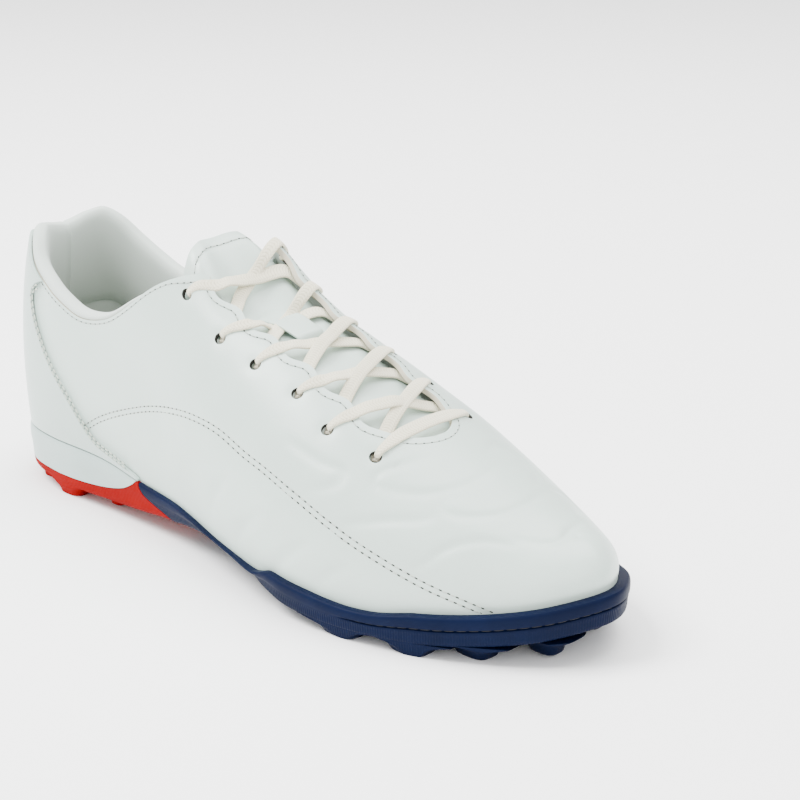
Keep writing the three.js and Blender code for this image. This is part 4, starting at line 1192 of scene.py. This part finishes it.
def stitch_row(line, up, size, sink=0.05):
    """Places of stitches and of the holes between them along a line on a surface"""
    pitch, length, width = size
    lengths = lengths_along(line)
    count = max(int(lengths[-1] / pitch), 2)
    place, axes, normal = frames(line, up, lengths, (np.arange(count) + 0.5) * lengths[-1] / count)
    hole, hole_axes, hole_up = frames(line, up, lengths, np.arange(count + 1) * lengths[-1] / count)
    return {"place": place + normal * sink, "axes": axes, "size": [(length, width, width * 0.8)] * count,
            "hole": hole + hole_up * sink, "hole_axes": hole_axes}


def edge_row(side, count=900):
    """Line a little inside the leather's top edge, from the heel round the throat's end"""
    t = np.linspace(0, 1, count)
    s = share_at(THROAT_END) * (1 - (1 - t) ** 1.6)
    cut = Cut(np.full(count, side), s)
    angle = leather_top(cut)
    points, up = cut.point(angle), skin_normal(cut, angle)
    lengths = lengths_along(points)
    even = np.linspace(0, lengths[-1], 420)
    points, up = at_lengths(even, lengths, points), unit(at_lengths(even, lengths, up))
    kernel = np.hanning(9) / np.hanning(9).sum()
    for k in range(3):
        points[4:-4, k] = np.convolve(points[:, k], kernel, "valid")
    distance = 1.3 + 1.4 * smooth_step(108, 118, points[:, 0])
    return offset_line(points, up, side * distance[:, None]), up


def sewn(name, rows, finish, template, hole=None):
    """Stitches of several rows as one piece, and dark copies at their needle holes, painted shade, as
    another
    """
    keys = ("place", "axes", "size", "hole", "hole_axes")
    places, axes, sizes, holes, hole_axes = ([value for row in rows for value in row[key]] for key in keys)
    made = [scatter(name, template, places, axes, sizes, finish)]
    if hole:
        made.append(scatter(name + "_holes", template, holes, hole_axes, [hole] * len(holes), "pit"))
    return made


def surface_line(side, x, height, lines):
    """A line on the pressed leather of one side and its outward directions"""
    cut = Cut(np.full(len(x), side), share_of_outline(side, x))
    angle = cut.at_height(height)
    points, up = cut.point(angle), skin_normal(cut, angle)
    return points + up * relief(points, lines)[:, None], up


def offset_line(points, up, distance):
    """A line moved sideways on its surface"""
    ahead = unit(np.gradient(points, axis=0))
    return points + unit(np.cross(up, ahead)) * distance


def make_stitches(lines):
    """Every row of stitches: side seams, top edge, counter, tongue and the sole's groove"""
    stitch = make_stitch()
    seam, edge, counter, tongue, groove = [], [], [], [], []
    for side in (LATERAL, MEDIAL):
        x = np.linspace(0.207, 0.912, 260) * LENGTH
        points, up = surface_line(side, x, seam_height(x), lines)
        for distance in SEAM_ROWS:
            seam.append(stitch_row(offset_line(points, up, distance), up, SEAM_STITCH))
        edge.append(stitch_row(*edge_row(side), EDGE_STITCH))
        v = np.linspace(0.03, 0.97, 260)
        x = counter_front(v)
        cut = Cut(np.full(len(x), side), share_of_outline(LATERAL, x))
        angle = cut.at_height(counter_height(cut.outer, v))
        points, up = skin_lifted(cut, angle, GAP + COUNTER_THICKNESS), skin_normal(cut, angle)
        for distance in COUNTER_ROWS:
            line = offset_line(points, up, side * distance)
            counter.append(stitch_row(line, up, COUNTER_STITCH, sink=0.1))
        s = np.linspace(share_of_outline(side, 0.76 * LENGTH), 0.999, 160)
        points = sole_place(s / 2 if side == LATERAL else 1 - s / 2, np.full(len(s), GROOVE_AT))
        out = outline(np.full(len(s), side), s, -1.0) - outline(np.full(len(s), side), s)
        up = unit(np.concatenate([out, np.zeros((len(s), 1))], 1))
        groove.append(stitch_row(points, up, GROOVE_STITCH, sink=0.25))
    side = np.linspace(-1, 1, 160)
    straight = np.linspace(0.13, 0.86, 120)
    for u, v in ((0.04 + 0.09 * side ** 8, 0.5 + 0.34 * side), (straight, 0 * straight + 0.16),
                 (straight, 0 * straight + 0.84)):
        points = tongue_place(u, v)
        up = unit(np.cross(tongue_place(u + 0.004, v) - points, tongue_place(u, v + 0.01) - points))
        tongue.append(stitch_row(points, up, TONGUE_STITCH))
    # The last sizes are those of the dark copies at the needle holes, painted shade
    pieces = sewn("side_seam_thread", seam, "thread", stitch, (1.3, 0.6, 0.34))
    pieces += sewn("edge_thread", edge, "thread", stitch, (0.9, 0.42, 0.3))
    pieces += sewn("counter_thread", counter, "cream", stitch, (0.6, 0.35, 0.2))
    pieces += sewn("tongue_thread", tongue, "thread", stitch, (0.9, 0.4, 0.3))
    pieces += sewn("sole_thread", groove, "black_thread", stitch)
    bpy.data.objects.remove(stitch)
    return pieces


# Materials
# Colours are sRGB codes, turned linear by one function; the sizes of patterns are in millimetres
RIB_PITCH = 0.95
OUTLINE_LENGTH = 660.0
LACE_THREAD = 1.2
LACE_COLUMN = 0.95


def srgb(code):
    """Linear colour of an sRGB code"""
    channels = [int(code[k:k + 2], 16) / 255 for k in (1, 3, 5)]
    return tuple([c / 12.92 if c <= 0.04045 else ((c + 0.055) / 1.055) ** 2.4 for c in channels] + [1.0])


def add(tree, kind, settings, links):
    """Adds a node: settings are its properties, its sockets or a ramp's stops, links its linked sockets"""
    node = tree.nodes.new("ShaderNode" + kind)
    for key, value in settings.items():
        if key == "stops":
            for element, (position, code) in zip(node.color_ramp.elements, value):
                element.position = position
                element.color = srgb(code)
        elif isinstance(key, str) and hasattr(node, key):
            setattr(node, key, value)
        else:
            node.inputs[key].default_value = value
    for key, socket in links.items():
        tree.links.new(socket, node.inputs[key])
    return node.outputs


def begin(name):
    """An empty material and its tree of nodes"""
    made = bpy.data.materials.new(name)
    made.use_nodes = True
    made.node_tree.nodes.clear()
    return made, made.node_tree


def shade(made, settings, links):
    """Ends a material with its shader"""
    shader = add(made.node_tree, "BsdfPrincipled", settings, links)
    add(made.node_tree, "OutputMaterial", {}, {"Surface": shader["BSDF"]})
    return made


def mottle(tree, place, size, dark, light):
    """Slow change between two close colours"""
    cloud = {"Scale": 1000 / size, "Detail": 3.0, "Roughness": 0.55}
    noise = add(tree, "TexNoise", cloud, {"Vector": place})
    return add(tree, "ValToRGB", {"stops": [(0.35, dark), (0.65, light)]}, {"Fac": noise["Fac"]})["Color"]


def leather(name, dark, light, roughness):
    """Coated synthetic leather: a film with a pebble of 0.8 mm over low swells of 17 mm, softly satin"""
    made, tree = begin(name)
    place = add(tree, "TexCoord", {}, {})["Object"]
    colour = mottle(tree, place, 40.0, dark, light)
    grain = add(tree, "TexVoronoi", {"Scale": 1000 / 0.77}, {"Vector": place})
    pebble = add(tree, "Bump", {"Strength": 0.12, "Distance": 0.0002}, {"Height": grain["Distance"]})
    swell = add(tree, "TexNoise", {"Scale": 1000 / 16.7, "Detail": 2.0}, {"Vector": place})
    skin = add(tree, "Bump", {"Strength": 0.12, "Distance": 0.0012},
               {"Height": swell["Fac"], "Normal": pebble["Normal"]})
    film = {"Roughness": roughness, "IOR": 1.5, "Coat Weight": 0.15, "Coat Roughness": 0.3}
    return shade(made, film, {"Base Color": colour, "Normal": skin["Normal"]})


def lining(name, pale, painted_shade, change):
    """Thin coated fabric over foam: matt, a grain of 0.7 mm, its colour going along its map from pale to a
    darker grey, painted shade inside the shoe
    """
    made, tree = begin(name)
    place = add(tree, "TexCoord", {}, {})
    height = add(tree, "SeparateXYZ", {}, {"Vector": place["UV"]})["Y"]
    # Painted shade: the colour darkens along the map's second direction
    colour = add(tree, "ValToRGB", {"stops": [(change[0], pale), (change[1], painted_shade)]}, {"Fac": height})
    grain = add(tree, "TexNoise", {"Scale": 1000 / 0.67, "Detail": 2.0}, {"Vector": place["Object"]})
    skin = add(tree, "Bump", {"Strength": 0.2, "Distance": 0.0002}, {"Height": grain["Fac"]})
    return shade(made, {"Roughness": 0.7, "Sheen Weight": 0.15},
                 {"Base Color": colour["Color"], "Normal": skin["Normal"]})


def rubber(name, dark, light, roughness, coat_weight, shine, band):
    """Moulded rubber with a grain of 1.1 mm and upright ribs in a band of its side"""
    made, tree = begin(name)
    place = add(tree, "TexCoord", {}, {})
    colour = mottle(tree, place["Object"], 25.0, dark, light)
    split = add(tree, "SeparateXYZ", {}, {"Vector": place["UV"]})
    # The real ribs are finer; at this pitch they still show
    turns = 2 * math.pi * OUTLINE_LENGTH / RIB_PITCH
    phase = add(tree, "Math", {"operation": "MULTIPLY", 1: turns}, {0: split["X"]})
    wave = add(tree, "Math", {"operation": "SINE"}, {0: phase[0]})
    above = add(tree, "Math", {"operation": "GREATER_THAN", 1: band[0]}, {0: split["Y"]})
    below = add(tree, "Math", {"operation": "LESS_THAN", 1: band[1]}, {0: split["Y"]})
    inside = add(tree, "Math", {"operation": "MULTIPLY"}, {0: above[0], 1: below[0]})
    ribs = add(tree, "Math", {"operation": "MULTIPLY"}, {0: wave[0], 1: inside[0]})
    ribbed = add(tree, "Bump", {"Strength": 0.3, "Distance": 0.00015}, {"Height": ribs[0]})
    grain = add(tree, "TexNoise", {"Scale": 1000 / 1.11, "Detail": 2.0}, {"Vector": place["Object"]})
    skin = add(tree, "Bump", {"Strength": 0.15, "Distance": 0.0002},
               {"Height": grain["Fac"], "Normal": ribbed["Normal"]})
    film = {"Roughness": roughness, "Specular IOR Level": shine, "Coat Weight": coat_weight,
            "Coat Roughness": 0.35}
    return shade(made, film, {"Base Color": colour, "Normal": skin["Normal"]})


def braid(name, painted_shade, pale):
    """Flat braided cotton: slanted threads that meet in chevrons, with darker gaps between them, painted
    shade
    """
    made, tree = begin(name)
    split = add(tree, "SeparateXYZ", {}, {"Vector": add(tree, "TexCoord", {}, {})["UV"]})
    row = add(tree, "Math", {"operation": "DIVIDE", 1: LACE_THREAD / 1000}, {0: split["X"]})
    across = add(tree, "Math", {"operation": "DIVIDE", 1: LACE_COLUMN / 1000}, {0: split["Y"]})
    column = add(tree, "Math", {"operation": "PINGPONG", 1: 1.0}, {0: across[0]})
    chevron = add(tree, "Math", {"operation": "MULTIPLY_ADD", 1: 0.7}, {0: column[0], 2: row[0]})
    turn = add(tree, "Math", {"operation": "MULTIPLY", 1: math.pi}, {0: chevron[0]})
    wave = add(tree, "Math", {"operation": "SINE"}, {0: turn[0]})
    thread = add(tree, "Math", {"operation": "ABSOLUTE"}, {0: wave[0]})
    arch = add(tree, "Math", {"operation": "MULTIPLY", 1: math.pi}, {0: column[0]})
    ridge = add(tree, "Math", {"operation": "SINE"}, {0: arch[0]})
    crown = add(tree, "Math", {"operation": "MULTIPLY_ADD", 1: 0.6, 2: 0.4}, {0: ridge[0]})
    height = add(tree, "Math", {"operation": "MULTIPLY"}, {0: thread[0], 1: crown[0]})
    skin = add(tree, "Bump", {"Strength": 0.55, "Distance": 0.0003}, {"Height": height[0]})
    # Painted shade: the colour darkens where the threads' relief is low
    colour = add(tree, "ValToRGB", {"stops": [(0.0, painted_shade), (0.4, pale)]}, {"Fac": height[0]})
    return shade(made, {"Roughness": 0.85, "Sheen Weight": 0.25},
                 {"Base Color": colour["Color"], "Normal": skin["Normal"]})


def plain(name, code, roughness):
    """One colour with a dull skin"""
    return shade(begin(name)[0], {"Base Color": srgb(code), "Roughness": roughness}, {})


MATERIALS = {
    # Coated leather: pale and cool, with a soft satin light over its swells
    "upper": leather("coated_leather", "#B8C8C0", "#BDCDC5", 0.36),
    # The same film, darker: painted shade, since the heel's side faces away from the light
    "counter": leather("counter_film_painted_shade", "#A6B7B0", "#ADBEB7", 0.34),
    # Fabric inside the upper and the tongue: matt grey-green, a little darker over the end of its map,
    # painted shade
    "lining": lining("lining_fabric", "#B0B8AF", "#ABB3AA", (0.4, 1.0)),
    # Fabric over the collar's foam: pale outside and on top, greyer where it turns down inside: painted
    # shade
    "roll": lining("collar_fabric", "#BCC6BF", "#A9B1A8", (0.55, 0.85)),
    # White rubber without ribs: satin, a little greyer than the leather
    "cup": rubber("white_rubber", "#9FB0AC", "#A5B6B2", 0.42, 0.1, 0.4, (0.0, 0.0)),
    # Red rubber: matt with hardly a highlight, so that it stays deep and full
    "heel": rubber("red_rubber", "#7A0404", "#840504", 0.7, 0.0, 0.04, (0.31, 0.66)),
    # Navy rubber: nearly matt, ribbed below its groove
    "sole": rubber("navy_rubber", "#050D24", "#07112B", 0.5, 0.0, 0.05, (0.33, 0.5)),
    # Braided cotton: warm off-white, soft, with small shadows in the weave
    "lace": braid("braided_lace", "#C6BFA4", "#E0DAC2"),
    # Cotton thread: a little darker than the leather, so that its rows show
    "thread": plain("cotton_thread", "#B2B9B1", 0.8),
    # Cream thread: shows only faintly on the counter
    "cream": plain("cream_thread", "#C3C8BA", 0.8),
    # Black thread: a dark broken line in the sole's groove
    "black_thread": plain("black_thread", "#060709", 0.7),
    # Painted shade: one dark grey for the inside of the needle holes and eyelets
    "pit": plain("painted_hole_shade", "#2A2B27", 0.9),
    # Cut edge of the leather: dull and warmer than its film
    "raw_edge": plain("cut_edge", "#BDB6A4", 0.8),
    # Fabric of the sockliner: one even grey
    "insole": lining("insole_fabric", "#9AA19A", "#9AA19A", (0.4, 1.0)),
}


# Camera at the photograph's angle, light and floor
CAMERA_TURN = math.radians(43.6)
CAMERA_RISE = math.radians(18.7)
CAMERA_DISTANCE = 0.73
CAMERA_AIM = (139.9, 58.3, 40.0)
CAMERA_LENS = 85.0


def make_camera():
    """Camera that looks at the shoe as the photograph does"""
    data = bpy.data.cameras.new("camera")
    data.lens = CAMERA_LENS
    data.sensor_width = 36.0
    camera = bpy.data.objects.new("camera", data)
    bpy.context.scene.collection.objects.link(camera)
    a, e = CAMERA_TURN, CAMERA_RISE
    back = Vector((math.sin(a) * math.cos(e), -math.cos(a) * math.cos(e), math.sin(e)))
    right = Vector((math.cos(a), math.sin(a), 0))
    up = back.cross(right)
    place = Vector(to_row(CAMERA_AIM)) + back * CAMERA_DISTANCE
    turn = Matrix((right, up, back)).transposed().to_4x4()
    camera.matrix_world = Matrix.Translation(place) @ turn
    bpy.context.scene.camera = camera


def light(name, place, size, power, aim=(0.0, 0.0, 0.04)):
    """Square lamp at a place, turned to the shoe"""
    data = bpy.data.lights.new(name, "AREA")
    data.size = size
    data.energy = power
    lamp = bpy.data.objects.new(name, data)
    bpy.context.scene.collection.objects.link(lamp)
    lamp.location = place
    lamp.rotation_euler = (Vector(place) - Vector(aim)).to_track_quat("Z", "Y").to_euler()


def make_studio():
    """Pale floor, even white surroundings and three soft lamps"""
    bpy.ops.object.select_all(action="DESELECT")
    bpy.ops.mesh.primitive_plane_add(size=8)
    floor = bpy.context.object
    floor.name = "floor"
    floor.data.materials.append(plain("pale_floor", "#FFFFFF", 0.9))
    world = bpy.data.worlds.new("studio")
    world.use_nodes = True
    world.node_tree.nodes["Background"].inputs["Color"].default_value = (1, 1, 1, 1)
    world.node_tree.nodes["Background"].inputs["Strength"].default_value = 1.6
    bpy.context.scene.world = world
    light("key", (-0.7, -0.7, 1.5), 0.9, 75)
    light("top", (0.1, 0.5, 1.6), 1.4, 45)
    light("side", (1.3, -0.6, 0.9), 1.0, 8)


def risen(x, moved):
    """Rise of a stretch that has moved, fading before and behind it"""
    place, reach, rise = moved
    return rise * np.exp(-((x - place) / reach) ** 2)


def settle(points, name):
    """The worn throat and collar: the outer facing has sunk a little, the inner one stands higher"""
    x, y, z = points.T
    across = y - along(LAST, "centre", x) * BALL_WIDTH
    high = smooth_step(54, 68, z)
    facing = smooth_step(-25, -15, across) * (1 - smooth_step(0, 20, across))
    outer = risen(x, FACING_SUNK) * facing
    if not name.startswith(("tongue", "lace")):
        outer = outer + risen(x, EDGE_RAISED) * smooth_step(0, 8, -across)
    inner = smooth_step(4, 18, across) * (risen(x, FACING_RAISED) + risen(x, COLLAR_RAISED))
    if name.startswith("tongue"):
        inner = TONGUE_FOLLOWS * inner
    peak = risen(x, PEAK_RAISED) * smooth_step(0, 10, across) * smooth_step(70, 95, z)
    return np.stack([x, y, z + high * (outer + inner) + peak], 1)


def settle_all(pieces):
    for piece in pieces:
        set_corners(piece, to_row(settle(in_last(corners(piece)), piece.name)))


def stand_for(piece, slot, *nodes):
    """Ties a piece to the part's root body and joins it to the pieces to be settled; the solids that it
    takes the place of are hidden. The slot is not used.
    """
    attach(piece, "root")
    settling.append(piece)
    if nodes:
        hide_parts(*nodes)


make_camera()
make_studio()
pressed = relief_lines()
settling = []
stand_for(make_upper(pressed), "upper", "upper")
stand_for(make_counter(), "heel_counter", "heel_counter")
roll = make_roll()
stand_for(roll, "lining", "collar_padding")
tongue = make_tongue()
stand_for(tongue, "upper", "tongue")
stand_for(make_keeper(), "upper", "lace_keeper")
sole = make_sole()
stand_for(sole["heel_cup_rubber"], "heel_cup", "heel_cup")
stand_for(sole["heel_rubber"], "heel_rubber", "heel_outsole")
stand_for(sole["sole_rubber"], "sole_rubber", "outsole")
for row in range(1, EYELET_ROWS):
    for side in (LATERAL, MEDIAL):
        stand_for(lace_run(row, side), "lace", f"lace_crossing_{row}")
stand_for(lace_bar(), "lace", "lace_bar")
for piece in make_stitches(pressed):
    stand_for(piece, "sole_rubber" if piece.name.startswith("sole") else "upper")
settle_all(settling)
coat(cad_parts["insole"], "insole")
